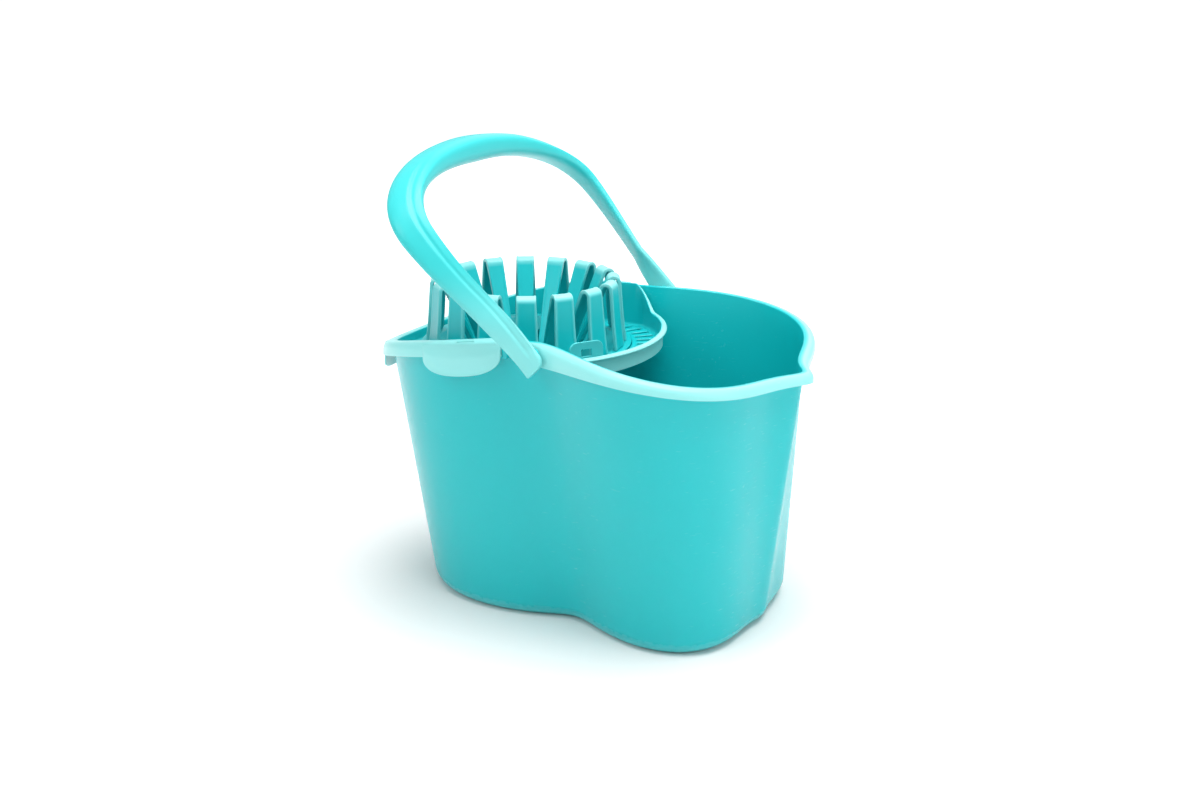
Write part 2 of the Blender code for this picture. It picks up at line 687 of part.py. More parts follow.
def make_cone(collection, cutters, material):
    """Turned strainer cone: flat collar, sloping wall, upright cup edge and a flat floor."""
    slope_foot = CUP_TOP - 0.0105
    profile = [(COLLAR_RADIUS, COLLAR_TOP), (COLLAR_RADIUS, COLLAR_TOP - CONE_WALL),
               (COLLAR_INNER + 0.0015, COLLAR_TOP - CONE_WALL), (CUP_RADIUS + 0.0018, slope_foot - CONE_WALL),
               (CUP_RADIUS - 0.0006, CONE_FLOOR), (0, CONE_FLOOR), (0, CONE_FLOOR + CONE_WALL),
               (CUP_RADIUS - CONE_WALL, CONE_FLOOR + CONE_WALL), (CUP_RADIUS - CONE_WALL, CUP_TOP),
               (CUP_RADIUS, CUP_TOP), (CUP_RADIUS, slope_foot), (CUP_RADIUS + 0.0020, slope_foot),
               (COLLAR_INNER, COLLAR_TOP)]
    mesh = bpy.data.meshes.new("wringer_cone")
    edges = [(start, (start + 1) % len(profile)) for start in range(len(profile))]
    edges = [(start, end) for start, end in edges if profile[start][0] or profile[end][0]]
    mesh.from_pydata([(radius, 0, height) for radius, height in profile], edges, [])
    cone = bpy.data.objects.new("wringer_cone", mesh)
    collection.objects.link(cone)
    mesh.materials.append(material)
    screw = cone.modifiers.new("Turn", "SCREW")
    screw.steps = 48
    screw.render_steps = 48
    screw.use_merge_vertices = True
    screw.merge_threshold = 0.00005
    screw.use_normal_calculate = True
    tools = []
    middle = (COLLAR_INNER + CUP_RADIUS) / 2 + 0.001
    for index in range(FINGER_COUNT):
        low, high = (middle - 0.010, -0.0026, CONE_FLOOR), (middle + 0.014, 0.0026, COLLAR_TOP + 0.01)
        blade = box("drain", low, high, cutters)
        blade.data.transform(Matrix.Rotation(FIRST_FINGER + (index + 0.5) * TURN / FINGER_COUNT, 4, "Z"))
        tools.append(blade)
    holes = [(0.0, 0.0)] + [(0.0165, index * TURN / 6) for index in range(6)]
    for radius, turn in holes:
        hole = cylinder("drain", DRAIN_RADIUS, -0.01, 0.01, (0, 0), cutters, 12)
        hole.data.transform(Matrix.Rotation(math.pi / 2, 4, "X"))
        spot = (radius * math.cos(turn), radius * math.sin(turn), CONE_FLOOR)
        hole.data.transform(Matrix.Translation(spot))
        tools.append(hole)
    tool = joined(tools)
    tool.name = "cone_drains"
    combine(cone, as_cutter(tool), "DIFFERENCE")
    for obj in (cone, tool):
        obj.location = (WRINGER_X, 0, 0)
    return cone


def finger_mesh():
    """Folded strip: outer leg up, fold over, inner leg down to the cup. Origin at the outer foot."""
    top_in = FINGER_TOP_RADIUS - FINGER_ROOT
    foot = COLLAR_TOP + JOIN_GAP
    rise = FINGER_TOP - foot - FINGER_THICKNESS / 2
    fold = FINGER_FOLD
    line = [(0.0, 0.0), (top_in * 0.25, rise * 0.35), (top_in * 0.5 + 0.0005, rise * 0.75),
            (top_in + fold, rise - fold)]
    for turn in np.radians([30, 60, 90, 120, 155]):
        line.append((top_in + fold * math.cos(turn), rise - fold + fold * math.sin(turn)))
    end = (CUP_RADIUS - CONE_WALL / 2 - FINGER_ROOT, CUP_TOP + JOIN_GAP - foot)
    last = line[-1]
    for share in (0.3, 0.65, 1.0):
        line.append((last[0] + (end[0] - last[0]) * share, last[1] + (end[1] - last[1]) * share))
    line = np.array(line)
    length = np.r_[0, np.cumsum(np.linalg.norm(np.diff(line, axis=0), axis=1))]
    fold_at = length[6] / length[-1]
    width = np.interp(length / length[-1], [0, fold_at, 1],
                      [FINGER_FOOT_WIDTH, FINGER_TOP_WIDTH, FINGER_END_WIDTH])
    along = np.gradient(line, axis=0)
    along /= np.linalg.norm(along, axis=1)[:, None]
    along[0] = (0, 1)
    along[-1] = (0, -1)
    sections = []
    for (out, up), (run_out, run_up), wide in zip(line, along, width):
        normal = (run_up * FINGER_THICKNESS / 2, -run_out * FINGER_THICKNESS / 2)
        corners = ((1, -0.5), (1, 0.5), (-1, 0.5), (-1, -0.5))
        sections.append([(out + s * normal[0], w * wide, up + s * normal[1]) for s, w in corners])
    return sections, foot


def make_fingers(collection, material):
    sections, foot = finger_mesh()
    first = loft_rod(sections, "wringer_finger_01", collection, material)
    for index in range(FINGER_COUNT):
        turn = FIRST_FINGER + index * TURN / FINGER_COUNT
        finger = first if index == 0 else bpy.data.objects.new(f"wringer_finger_{index + 1:02d}", first.data)
        if index:
            collection.objects.link(finger)
        finger.location = (WRINGER_X + FINGER_ROOT * math.cos(turn), FINGER_ROOT * math.sin(turn), foot)
        finger.rotation_euler = (0, 0, turn)


def build():
    empty_scene()
    parts = new_collection("mop_bucket")
    cutters = new_collection("cutters")
    tub_plastic = plastic("turquoise tub", (0.024, 0.515, 0.545), 0.30)
    bail_plastic = plastic("turquoise bail", (0.045, 0.560, 0.575), 0.34)
    wringer_plastic = plastic("turquoise wringer", (0.010, 0.545, 0.575), 0.36)
    make_bucket(parts, cutters, tub_plastic)
    make_bail(parts, cutters, bail_plastic)
    make_tray(parts, cutters, wringer_plastic)
    make_cone(parts, cutters, wringer_plastic)
    make_fingers(parts, wringer_plastic)
    make_tab(parts, wringer_plastic)
    for name, angle in FLAP_ANGLES.items():
        make_flap(name, angle, parts, wringer_plastic)


build()
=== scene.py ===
import json
import math

import bmesh
import bpy
import numpy as np
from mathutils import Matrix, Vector


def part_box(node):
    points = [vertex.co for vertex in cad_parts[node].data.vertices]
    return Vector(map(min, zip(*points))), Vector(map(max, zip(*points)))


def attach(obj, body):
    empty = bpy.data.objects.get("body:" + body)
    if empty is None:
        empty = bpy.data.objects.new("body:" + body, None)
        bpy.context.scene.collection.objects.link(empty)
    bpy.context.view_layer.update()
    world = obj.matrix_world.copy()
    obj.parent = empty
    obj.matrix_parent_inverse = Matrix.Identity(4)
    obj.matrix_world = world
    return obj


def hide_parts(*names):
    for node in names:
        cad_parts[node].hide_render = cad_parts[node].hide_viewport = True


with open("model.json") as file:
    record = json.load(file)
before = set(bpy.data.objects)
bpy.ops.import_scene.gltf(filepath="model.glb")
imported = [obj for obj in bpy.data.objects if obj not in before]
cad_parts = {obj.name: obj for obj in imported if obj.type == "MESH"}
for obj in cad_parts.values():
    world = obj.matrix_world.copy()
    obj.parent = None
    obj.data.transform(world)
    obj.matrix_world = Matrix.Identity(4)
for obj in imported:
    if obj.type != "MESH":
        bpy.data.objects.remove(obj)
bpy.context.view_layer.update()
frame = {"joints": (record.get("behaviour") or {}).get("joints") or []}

joints = {joint["name"]: joint for joint in frame["joints"]}

# ------------------------------------------------------------------ camera, floor and light
# A plain pale floor in soft studio light: a key from the front left, a weaker lamp on the right, a
# strong wide panel overhead and a faint one behind. The floor glows more with distance from the
# object, so that it runs into the white surroundings without a horizon.
scene = bpy.context.scene
scene.view_settings.view_transform = "Standard"

camera = bpy.data.objects.new("camera", bpy.data.cameras.new("camera"))
scene.collection.objects.link(camera)
scene.camera = camera
camera.data.lens = 45.336
camera.data.sensor_width = 36.0
camera.location = (0.5783, -1.0686, 0.5605)
aim = Vector((-0.0024, 0.0, 0.1705)) - camera.location
camera.rotation_euler = aim.to_track_quat("-Z", "Y").to_euler()


def lamp(name, place, aim_at, size, power):
    """Square area light of a size and power at a place, turned to face a point."""
    light = bpy.data.lights.new(name, "AREA")
    light.size = size
    light.energy = power
    holder = bpy.data.objects.new(name, light)
    scene.collection.objects.link(holder)
    holder.location = place
    holder.rotation_euler = (Vector(aim_at) - holder.location).to_track_quat("-Z", "Y").to_euler()


MIDDLE = (0.0, 0.0, 0.15)
lamp("key", (-0.90, -1.90, 1.70), MIDDLE, 0.9, 9.0)
lamp("right", (1.90, 0.10, 0.80), MIDDLE, 0.9, 6.0)
lamp("overhead", (0.20, 0.0, 1.70), MIDDLE, 1.4, 36.0)
lamp("behind", (-0.6, 2.2, 1.50), MIDDLE, 1.6, 5.0)

world = bpy.data.worlds.new("studio")
scene.world = world
world.use_nodes = True
world.node_tree.nodes["Background"].inputs["Color"].default_value = (1.0, 1.0, 1.0, 1.0)
world.node_tree.nodes["Background"].inputs["Strength"].default_value = 0.50


class Socket:
    """A shader value: arithmetic on it adds Math nodes, and make adds any other node."""

    def __init__(self, tree, output):
        self.tree = tree
        self.output = output

    def make(self, kind, settings, sockets, result=0):
        """Add a node of a kind, apply its settings, then feed its sockets with values or links."""
        node = self.tree.nodes.new(kind)
        for key, value in settings.items():
            if key == "stops":
                ramp_stops = node.color_ramp.elements
                for stop, (place, shade) in zip(ramp_stops, value):
                    stop.position = place
                    stop.color = (shade, shade, shade, 1.0)
            else:
                setattr(node, key, value)
        for key, value in sockets.items():
            if isinstance(value, Socket):
                self.tree.links.new(value.output, node.inputs[key])
            else:
                node.inputs[key].default_value = value
        return Socket(self.tree, node.outputs[result])

    def maths(self, operation, first, second=0.0):
        return self.make("ShaderNodeMath", {"operation": operation}, {0: first, 1: second})

    def __add__(self, other):
        return self.maths("ADD", self, other)

    def __sub__(self, other):
        return self.maths("SUBTRACT", self, other)

    def __rsub__(self, other):
        return self.maths("SUBTRACT", other, self)

    def __mul__(self, other):
        return self.maths("MULTIPLY", self, other)

    __radd__ = __add__
    __rmul__ = __mul__

    def clamped(self):
        return self.maths("MINIMUM", self.maths("MAXIMUM", self, 0.0), 1.0)


FLOOR_HALF = 400.0
CLEAR_RADIUS, GLOW_RADIUS = 0.35, 1.3
floor_mesh = bpy.data.meshes.new("floor")
corners = [(-FLOOR_HALF, -FLOOR_HALF, 0), (FLOOR_HALF, -FLOOR_HALF, 0),
           (FLOOR_HALF, FLOOR_HALF, 0), (-FLOOR_HALF, FLOOR_HALF, 0)]
floor_mesh.from_pydata(corners, [], [(0, 1, 2, 3)])
floor = bpy.data.objects.new("floor", floor_mesh)
scene.collection.objects.link(floor)
paper = bpy.data.materials.new("floor paper")
paper.use_nodes = True
paper_shader = paper.node_tree.nodes["Principled BSDF"]
paper_shader.inputs["Base Color"].default_value = (0.90, 0.90, 0.90, 1.0)
paper_shader.inputs["Roughness"].default_value = 0.9
paper_shader.inputs["Emission Strength"].default_value = 0.6
on_floor = Socket(paper.node_tree, paper.node_tree.nodes.new("ShaderNodeTexCoord").outputs["Object"])
far_off = on_floor.make("ShaderNodeVectorMath", {"operation": "LENGTH"}, {0: on_floor}, "Value")
glow = on_floor.make("ShaderNodeMapRange", {},
                     {"Value": far_off, "From Min": CLEAR_RADIUS, "From Max": GLOW_RADIUS}, "Result")
paper.node_tree.links.new(glow.output, paper_shader.inputs["Emission Color"])
floor_mesh.materials.append(paper)


# ------------------------------------------------------------------ bucket
# The tub is one injection moulding in glossy turquoise polypropylene: a waisted oval with a folded
# pouring spout, a rolled rim that climbs to the bail's pivots, and a recessed foot. Turned-over edges
# carry a painted highlight, a lighter colour in place of the light they catch: each point holds a
# number for how far it goes to the painted highlight tone.
RIM_RADII = (0.1660, 0.1776, 0.1556, 0.1133, 0.1430, 0.1810, 0.1965)
BASE_RADII = (0.1460, 0.1560, 0.1010, 0.0760, 0.1010, 0.1400, 0.1540)
RIM_HEIGHTS = (0.2213, 0.2270, 0.2412, 0.2472, 0.2409, 0.2221, 0.2070)
SPOUT_REACH = 0.0205
SPOUT_SPREAD = 0.120
SPOUT_AT_BASE = 0.0060
SPOUT_SOFTEN = 0.050
WALL = 0.0021
FLOOR_WALL = 0.0026
BASE_ROUND = 0.0150
RIM_OVERHANG = 0.0080
RIM_WALL = 0.0020
RIM_ROLL = 2.9
SKIRT_AT_SPOUT = 0.0078
SKIRT_AT_PIVOT = 0.0170
SKIRT_SPREAD = math.radians(28)
CAPPED_SKIRT = 0.0055
FACET_START = 0.0080
FACET_END = -0.0050
SET_BACK = 0.55
SET_BACK_SKIRT = 0.0115
CAP_END = -0.0291
RIM_UNDER_CAP = 0.0065
CAP_INSET = 0.0023
FOOT_RECESS = 0.0016
FOOT_WEAR_HEIGHT = 0.012
# Painted highlight: the lighter colour painted on edges in place of the light they catch, and its strength.
PAINTED_HIGHLIGHT_STRENGTH = 0.62
PAINTED_HIGHLIGHT_COLOUR = (0.44, 0.86, 0.83)
GRAIN_DEPTH = 0.00008
DARKEST_SHADE = 0.93
CLOUD_SHADE = 0.12
MOTTLE_SHADE = 0.015
WEAR_PALENESS = 0.4
WEAR_ROUGHNESS = 0.2
FILLET = 0.0022
RIM_TOP_WALL = RIM_WALL * 1.2
HEM_ROUND = 0.0006
HEM_DROP = 0.0003
FULL_TURN = 2 * math.pi


def series_through(values):
    """Coefficients of the cosine series through values at even angles from 0 to half a turn."""
    steps = np.arange(len(values))
    return np.linalg.solve(np.cos(np.outer(steps * math.pi / (len(values) - 1), steps)), values)


def series_at(series, angle):
    """Sum of coefficient k times the cosine of k times the angle."""
    return np.cos(np.multiply.outer(np.asarray(angle), np.arange(len(series)))) @ series


def wrapped(angle):
    """The same angle, brought between minus half a turn and half a turn."""
    return (np.asarray(angle) + math.pi) % FULL_TURN - math.pi


def ramp(value, low, high):
    """Smooth step: 0 at low, 1 at high, three t squared less two t cubed between."""
    share = np.clip((np.asarray(value, float) - low) / (high - low), 0, 1)
    return share * share * (3 - 2 * share)


def outline(inset):
    """The rim's plan without its spout, moved inwards along its own normals by inset."""
    angle = np.linspace(-math.pi, math.pi, 1440, endpoint=False)
    radius = series_at(series_through(RIM_RADII), angle)
    points = np.column_stack([radius * np.cos(angle), radius * np.sin(angle)])
    along = np.roll(points, -1, axis=0) - np.roll(points, 1, axis=0)
    outward = np.column_stack([along[:, 1], -along[:, 0]])
    return points - inset * outward / np.linalg.norm(outward, axis=1)[:, None]


def radius_reader(points, centre_x):
    """Distance of a closed plan curve from (centre_x, 0) as a function of the angle about that point."""
    angle = np.arctan2(points[:, 1], points[:, 0] - centre_x)
    radius = np.hypot(points[:, 0] - centre_x, points[:, 1])
    order = np.argsort(angle)
    return lambda at: np.interp(wrapped(at), angle[order], radius[order], period=FULL_TURN)


def spout_fold(angle, reach):
    """Fold at angle 0 that falls off exponentially on both sides of a rounded tip."""
    turn = np.hypot(wrapped(angle), SPOUT_SOFTEN) - SPOUT_SOFTEN
    return reach * np.exp(-turn / SPOUT_SPREAD)


def rim_radius(angle, inset):
    """Distance from the middle to the rim's plan, moved inwards by inset, plus the spout."""
    return radius_reader(outline(inset), 0.0)(angle) + spout_fold(angle, SPOUT_REACH)


def rim_height(angle):
    """Height of the rim's top: the cosine series through the measured heights."""
    return series_at(series_through(RIM_HEIGHTS), wrapped(angle))


def wall_radius(angle, height, inset):
    """Straight taper from the base's plan to the rim's at the given height, less inset."""
    base = series_at(series_through(BASE_RADII), wrapped(angle)) + spout_fold(angle, SPOUT_AT_BASE)
    share = height / rim_height(angle)
    return base * (1 - share) + rim_radius(angle, RIM_OVERHANG) * share - inset


def rim_angle(x):
    """Plan angle, on the rear half near the waist, where the rim's edge stands at x."""
    angle = np.linspace(math.radians(55), math.radians(125), 1401)
    return float(np.interp(-x, -rim_radius(angle, 0) * np.cos(angle), angle))


def ring(angle, radius, height):
    """Points at a plan radius and height for every angle."""
    return np.stack([radius * np.cos(angle), radius * np.sin(angle), height + 0 * angle], axis=-1)


def skin(name, grid, around=True, along=False, poles=(None, None), keep=None, sharp=32):
    """Quads between neighbouring points of a grid (rows, columns, 3), fans to the pole points.

    around joins the last column to the first, along the last row to the first; keep masks quads out.
    """
    rows, columns = grid.shape[:2]
    row, column = np.meshgrid(np.arange(rows if along else rows - 1),
                              np.arange(columns if around else columns - 1), indexing="ij")
    ahead, beside = (row + 1) % rows * columns, (column + 1) % columns
    quads = np.stack([row * columns + column, row * columns + beside, ahead + beside, ahead + column],
                     axis=-1)
    quads = quads[keep] if keep is not None else quads.reshape(-1, 4)
    faces = quads.tolist()
    points = [grid.reshape(-1, 3)]
    for pole, start in zip(poles, (0, (rows - 1) * columns)):
        if pole is not None:
            points.append(np.asarray(pole, float).reshape(1, 3))
            tip = sum(map(len, points)) - 1
            first = start + np.arange(columns)
            second = start + (np.arange(columns) + 1) % columns
            faces += np.column_stack([first, second, np.full(columns, tip)]).tolist()
    mesh = bpy.data.meshes.new(name)
    mesh.from_pydata(np.vstack(points).tolist(), [], faces)
    work = bmesh.new()
    work.from_mesh(mesh)
    bmesh.ops.remove_doubles(work, verts=work.verts, dist=1e-7)
    loose = [vert for vert in work.verts if not vert.link_faces]
    bmesh.ops.delete(work, geom=loose, context="VERTS")
    bmesh.ops.recalc_face_normals(work, faces=work.faces)
    work.to_mesh(mesh)
    work.free()
    mesh.shade_smooth()
    mesh.set_sharp_from_angle(angle=math.radians(sharp))
    piece = bpy.data.objects.new(name, mesh)
    scene.collection.objects.link(piece)
    return piece


def plastic(name, colour, gloss, foot_wear=0.0):
    """Moulded polypropylene: even colour, faint flow clouds, fine grain, and the painted highlight tone
    where the stored highlight number is 1.
    """
    material = bpy.data.materials.new(name)
    material.use_nodes = True
    tree = material.node_tree
    shader = tree.nodes["Principled BSDF"]
    spot = Socket(tree, tree.nodes.new("ShaderNodeTexCoord").outputs["Object"])
    # The painted highlight number stored at each point.
    bloom = spot.make("ShaderNodeAttribute", {"attribute_name": "bloom"}, {}, 2)
    stretched = spot.make("ShaderNodeMapping", {}, {"Vector": spot, "Scale": (1.0, 1.0, 0.25)})
    clouds = spot.make("ShaderNodeTexNoise", {}, {"Vector": stretched, "Scale": 8.0, "Detail": 1.0})
    mottle = spot.make("ShaderNodeTexNoise", {}, {"Vector": spot, "Scale": 220.0, "Detail": 2.0})
    grain = spot.make("ShaderNodeTexNoise", {}, {"Vector": spot, "Scale": 2400.0, "Detail": 1.0})
    slanted = spot.make("ShaderNodeMapping", {}, {"Vector": spot, "Scale": (20.0, 20.0, 260.0),
                                                  "Rotation": (0.35, 0.20, 0.60)})
    streaks = spot.make("ShaderNodeTexNoise", {}, {"Vector": slanted, "Scale": 5.0, "Detail": 3.0})
    scuffs = spot.make("ShaderNodeValToRGB", {"stops": ((0.64, 0.0), (0.80, 1.0))}, {"Fac": streaks})
    up = spot.make("ShaderNodeSeparateXYZ", {}, {"Vector": spot}, 2)
    near_floor = (1.0 - up * (1 / FOOT_WEAR_HEIGHT)).clamped() * foot_wear
    wear = (near_floor * mottle * 1.2).clamped()
    shade = DARKEST_SHADE + clouds * CLOUD_SHADE + mottle * MOTTLE_SHADE
    tint = spot.make("ShaderNodeMix", {"data_type": "RGBA", "blend_type": "MULTIPLY"},
                     {0: 1.0, 6: (*colour, 1.0), 7: shade}, 2)
    # Lighter colour from the painted highlight, and from real wear near the foot.
    highlight_and_wear = (bloom * PAINTED_HIGHLIGHT_STRENGTH + wear * WEAR_PALENESS).clamped()
    toned = spot.make("ShaderNodeMix", {"data_type": "RGBA"},
                      {0: highlight_and_wear, 6: tint, 7: (*PAINTED_HIGHLIGHT_COLOUR, 1.0)}, 2)
    tree.links.new(toned.output, shader.inputs["Base Color"])
    uneven = (mottle - 0.5) * 0.02 + scuffs * 0.02 + (clouds - 0.5) * 0.04
    rough = gloss + uneven + wear * WEAR_ROUGHNESS
    tree.links.new(rough.clamped().output, shader.inputs["Roughness"])
    bump = spot.make("ShaderNodeBump", {}, {"Height": grain, "Strength": 0.08, "Distance": GRAIN_DEPTH})
    tree.links.new(bump.output, shader.inputs["Normal"])
    shader.inputs["IOR"].default_value = 1.49
    shader.inputs["Specular IOR Level"].default_value = 0.4
    return material


def give_painted_highlight(piece, values):
    """Store a number from 0 to 1 at every point: how far the colour there goes to the painted highlight
    tone.
    """
    attribute = piece.data.attributes.new("bloom", "FLOAT", "POINT")
    attribute.data.foreach_set("value", np.asarray(values, np.float32))


def points_of(piece):
    """The piece's points as an array of rows."""
    flat = np.empty(len(piece.data.vertices) * 3)
    piece.data.vertices.foreach_get("co", flat)
    return flat.reshape(-1, 3)


def fit(piece, body, slot_name, material, *nodes):
    """Give a finished piece its material and body, and hide the CAD nodes it stands for; the slot name is
    not used.
    """
    piece.data.materials.append(material)
    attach(piece, body)
    if nodes:
        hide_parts(*nodes)
    return piece


TUB_COLOUR = (0.004, 0.485, 0.515)
tub_plastic = plastic("tub polypropylene", TUB_COLOUR, 0.26, foot_wear=0.8)

facet_near, facet_far = rim_angle(FACET_START), rim_angle(FACET_END)
hidden_from = rim_angle(CAP_END - RIM_UNDER_CAP)
STEP = math.radians(0.1)
even = np.linspace(-math.pi, math.pi, 620, endpoint=False)
by_spout = np.radians(np.concatenate([np.arange(0, 2, 0.1), np.arange(2, 12, 0.3)]))
changes = np.array([facet_near - STEP, facet_near, facet_near + STEP, facet_far - STEP, facet_far,
                    facet_far + STEP, hidden_from - STEP / 2, hidden_from + STEP / 2])
angle = np.unique(np.round(np.concatenate([even, by_spout, -by_spout, changes, -changes]), 6))
angle = angle[np.append(True, np.diff(angle) > math.radians(0.02))]

top = rim_height(angle)
turn_in = np.abs(wrapped(angle))
capped = turn_in > hidden_from
taken_back = np.interp(turn_in, [facet_near, facet_far], [0.0, 1.0])
brim_share = np.where(capped, 1.0, 1 - (1 - SET_BACK) * taken_back)
wall_top = rim_radius(angle, RIM_OVERHANG)
brim = (np.where(capped, rim_radius(angle, CAP_INSET), rim_radius(angle, 0)) - wall_top) * brim_share
from_pivot = math.pi / 2 - turn_in
skirt = SKIRT_AT_SPOUT + (SKIRT_AT_PIVOT - SKIRT_AT_SPOUT) * np.exp(-(from_pivot / SKIRT_SPREAD) ** 2)
drop = np.where(capped, CAPPED_SKIRT, skirt * (1 - taken_back) + SET_BACK_SKIRT * taken_back)

corner = wall_radius(angle, BASE_ROUND, 0)
foot = corner - BASE_ROUND
rows = [ring(angle, foot * share, FOOT_RECESS) for share in (0.12, 0.35, 0.6, 0.8)]
rows += [ring(angle, foot - inward, height) for inward, height in
         ((0.0100, FOOT_RECESS), (0.0080, FOOT_RECESS * 0.85), (0.0070, FOOT_RECESS * 0.15), (0.0050, 0.0))]
for turn in np.linspace(-math.pi / 2, 0, 12):
    rows.append(ring(angle, foot + BASE_ROUND * math.cos(turn), BASE_ROUND + BASE_ROUND * math.sin(turn)))
wall_end = top - RIM_TOP_WALL - FILLET
for share in np.linspace(0, 1, 16)[1:]:
    height = BASE_ROUND + (wall_end - BASE_ROUND) * share
    rows.append(ring(angle, wall_radius(angle, height, 0), height))
for turn in np.radians([30, 60, 90]):
    out, up = FILLET * (1 - math.cos(turn)), FILLET * math.sin(turn)
    rows.append(ring(angle, wall_top + out * brim_share * 0.9, wall_end + up))
inner_brim = np.maximum(brim - RIM_WALL, brim * 0.5)
for turn in np.linspace(math.radians(35), math.pi / 2, 6):
    out = inner_brim * math.sin(turn) ** (2 / RIM_ROLL)
    down = RIM_TOP_WALL + (drop - RIM_TOP_WALL) * (1 - math.cos(turn) ** (2 / RIM_ROLL))
    rows.append(ring(angle, wall_top + out, top - down))
rows.append(ring(angle, wall_top + inner_brim + HEM_ROUND, top - drop - HEM_DROP))
rows.append(ring(angle, wall_top + brim - HEM_ROUND, top - drop - HEM_DROP))
for turn in np.linspace(math.pi / 2, 0, 16):
    out = brim * math.sin(turn) ** (2 / RIM_ROLL)
    down = drop * (1 - math.cos(turn) ** (2 / RIM_ROLL))
    rows.append(ring(angle, wall_top + out, top - down))
EDGE = 0.0011
for turn in np.radians([90, 60, 30, 0]):
    rows.append(ring(angle, wall_top - WALL + EDGE - EDGE * math.cos(turn),
                     top - EDGE + EDGE * math.sin(turn)))
for share in np.linspace(1, 0, 14)[1:]:
    height = BASE_ROUND + (top - EDGE - BASE_ROUND) * share
    rows.append(ring(angle, wall_radius(angle, height, WALL), height))
inside_round = BASE_ROUND - WALL
for turn in np.linspace(0, -math.pi / 2, 9):
    rows.append(ring(angle, foot + inside_round * math.cos(turn),
                     FLOOR_WALL + inside_round + inside_round * math.sin(turn)))
rows += [ring(angle, foot * share, FLOOR_WALL) for share in (0.8, 0.5, 0.2)]
bucket = skin("bucket_shell", np.array(rows), poles=((0, 0, FOOT_RECESS), (0, 0, FLOOR_WALL)), sharp=38)
spots = points_of(bucket)
round_at = np.arctan2(spots[:, 1], spots[:, 0])
from_wall = np.hypot(spots[:, 0], spots[:, 1]) - wall_radius(round_at, spots[:, 2], 0)
# Painted highlight on the rolled rim: the colour goes lighter where the roll stands out from the wall, from
# 16 cm up.
give_painted_highlight(bucket, ramp(from_wall, 0.0008, 0.0026) * ramp(spots[:, 2], 0.16, 0.18))
fit(bucket, "bucket_body", "tub plastic", tub_plastic, "bucket")

# The bail turns on two round bosses moulded on the tub's waist, each with a hole for the bail's
# stud; beside each boss the rim carries a small upright peg that keys the wringer's cap.
PIVOT_Z = joints["bail_swing"]["pos_m"][2]
WAIST = float(rim_radius(math.pi / 2, 0))
BOSS_PROUD = 0.0016
BOSS_FACE = WAIST + BOSS_PROUD
BOSS_RADIUS = 0.0076
BOSS_BORE = 0.0045
BOSS_DEPTH = 0.0085
PEG_X = -0.0252
PEG_RADIUS = 0.0029
PEG_LENGTH = 0.0125
PEG_TAPER = 0.0013
PEG_BELOW_RIM = 0.0010


def turned(name, profile, origin, axis, count=64, **options):
    """Profile of (radius, distance along the axis) turned about the axis through origin."""
    profile = np.asarray(profile, float)
    turn = np.linspace(0, FULL_TURN, count, endpoint=False)
    axis = np.asarray(axis, float)
    side = np.cross(axis, (0.31, 0.17, 0.93) if abs(axis[2]) < 0.9 else (1.0, 0.0, 0.0))
    side /= np.linalg.norm(side)
    other = np.cross(axis, side)
    spoke = np.cos(turn)[:, None] * side + np.sin(turn)[:, None] * other
    grid = profile[:, None, 0:1] * spoke[None] + profile[:, None, 1:2] * axis + np.asarray(origin)
    return skin(name, grid, **options)


for side, end in ((-1, "front"), (1, "rear")):
    profile = [(BOSS_BORE, -BOSS_DEPTH), (BOSS_BORE, -0.0005), (BOSS_BORE + 0.0004, 0.0),
               (BOSS_RADIUS - 0.0008, 0.0), (BOSS_RADIUS - 0.0002, -0.0002), (BOSS_RADIUS, -0.0008),
               (BOSS_RADIUS + 0.0003, -BOSS_DEPTH)]
    boss = turned("bucket_boss_" + end, profile, (0, side * BOSS_FACE, PIVOT_Z), (0, side, 0), along=True)
    fit(boss, "bucket_body", "tub plastic", tub_plastic)
    peg_at = rim_angle(PEG_X)
    peg_y = side * float(rim_radius(peg_at, RIM_OVERHANG * (1 - SET_BACK))) * math.sin(peg_at)
    peg_top = float(rim_height(peg_at)) - PEG_BELOW_RIM
    peg_foot = peg_top - PEG_LENGTH
    dome = [(PEG_RADIUS * math.cos(t), peg_top - PEG_RADIUS + PEG_RADIUS * math.sin(t))
            for t in np.linspace(0, math.radians(84), 7)]
    peg_profile = [(PEG_RADIUS * 0.6, peg_foot), (PEG_RADIUS, peg_foot + PEG_TAPER)] + dome
    peg = turned("rim_peg_" + end, peg_profile, (PEG_X, peg_y, 0), (0, 0, 1), count=32,
                 poles=((PEG_X, peg_y, peg_foot), (PEG_X, peg_y, peg_top)))
    fit(peg, "bucket_body", "tub plastic", tub_plastic)


# ------------------------------------------------------------------ bail
# The carrying bail is one moulding: a full round grip that flattens into wide canted arms, with a
# groove and a lower flange along each arm. Its ends run on past the pivots; studs snap into the bosses.
BAIL_REACH = 0.1886
BAIL_LEAN = math.radians(43.5)
BAIL_BULGE = 0.0157
BAIL_WIDEST = 0.65
BAIL_CROWN = 2.2
BAND_WIDTHS = (0.0205, 0.0215, 0.0290, 0.0280, 0.0300)
BAND_THICKNESSES = (0.0068, 0.0085, 0.0120, 0.0185, 0.0230)
BAND_CANT = math.radians(37)
BAND_OFFSET = 0.0015
HUB_RADIUS = 0.0090
HUB_OUTER = 0.0096
TAIL_LENGTH = 0.0107
TAIL_ROUND = 0.0075
STUD_RADIUS = 0.0040
GROOVE_DEPTH = 0.0016
GROOVE_AT = 0.20
FLANGE_STEP = 0.0014
END_ROUND = 0.0012


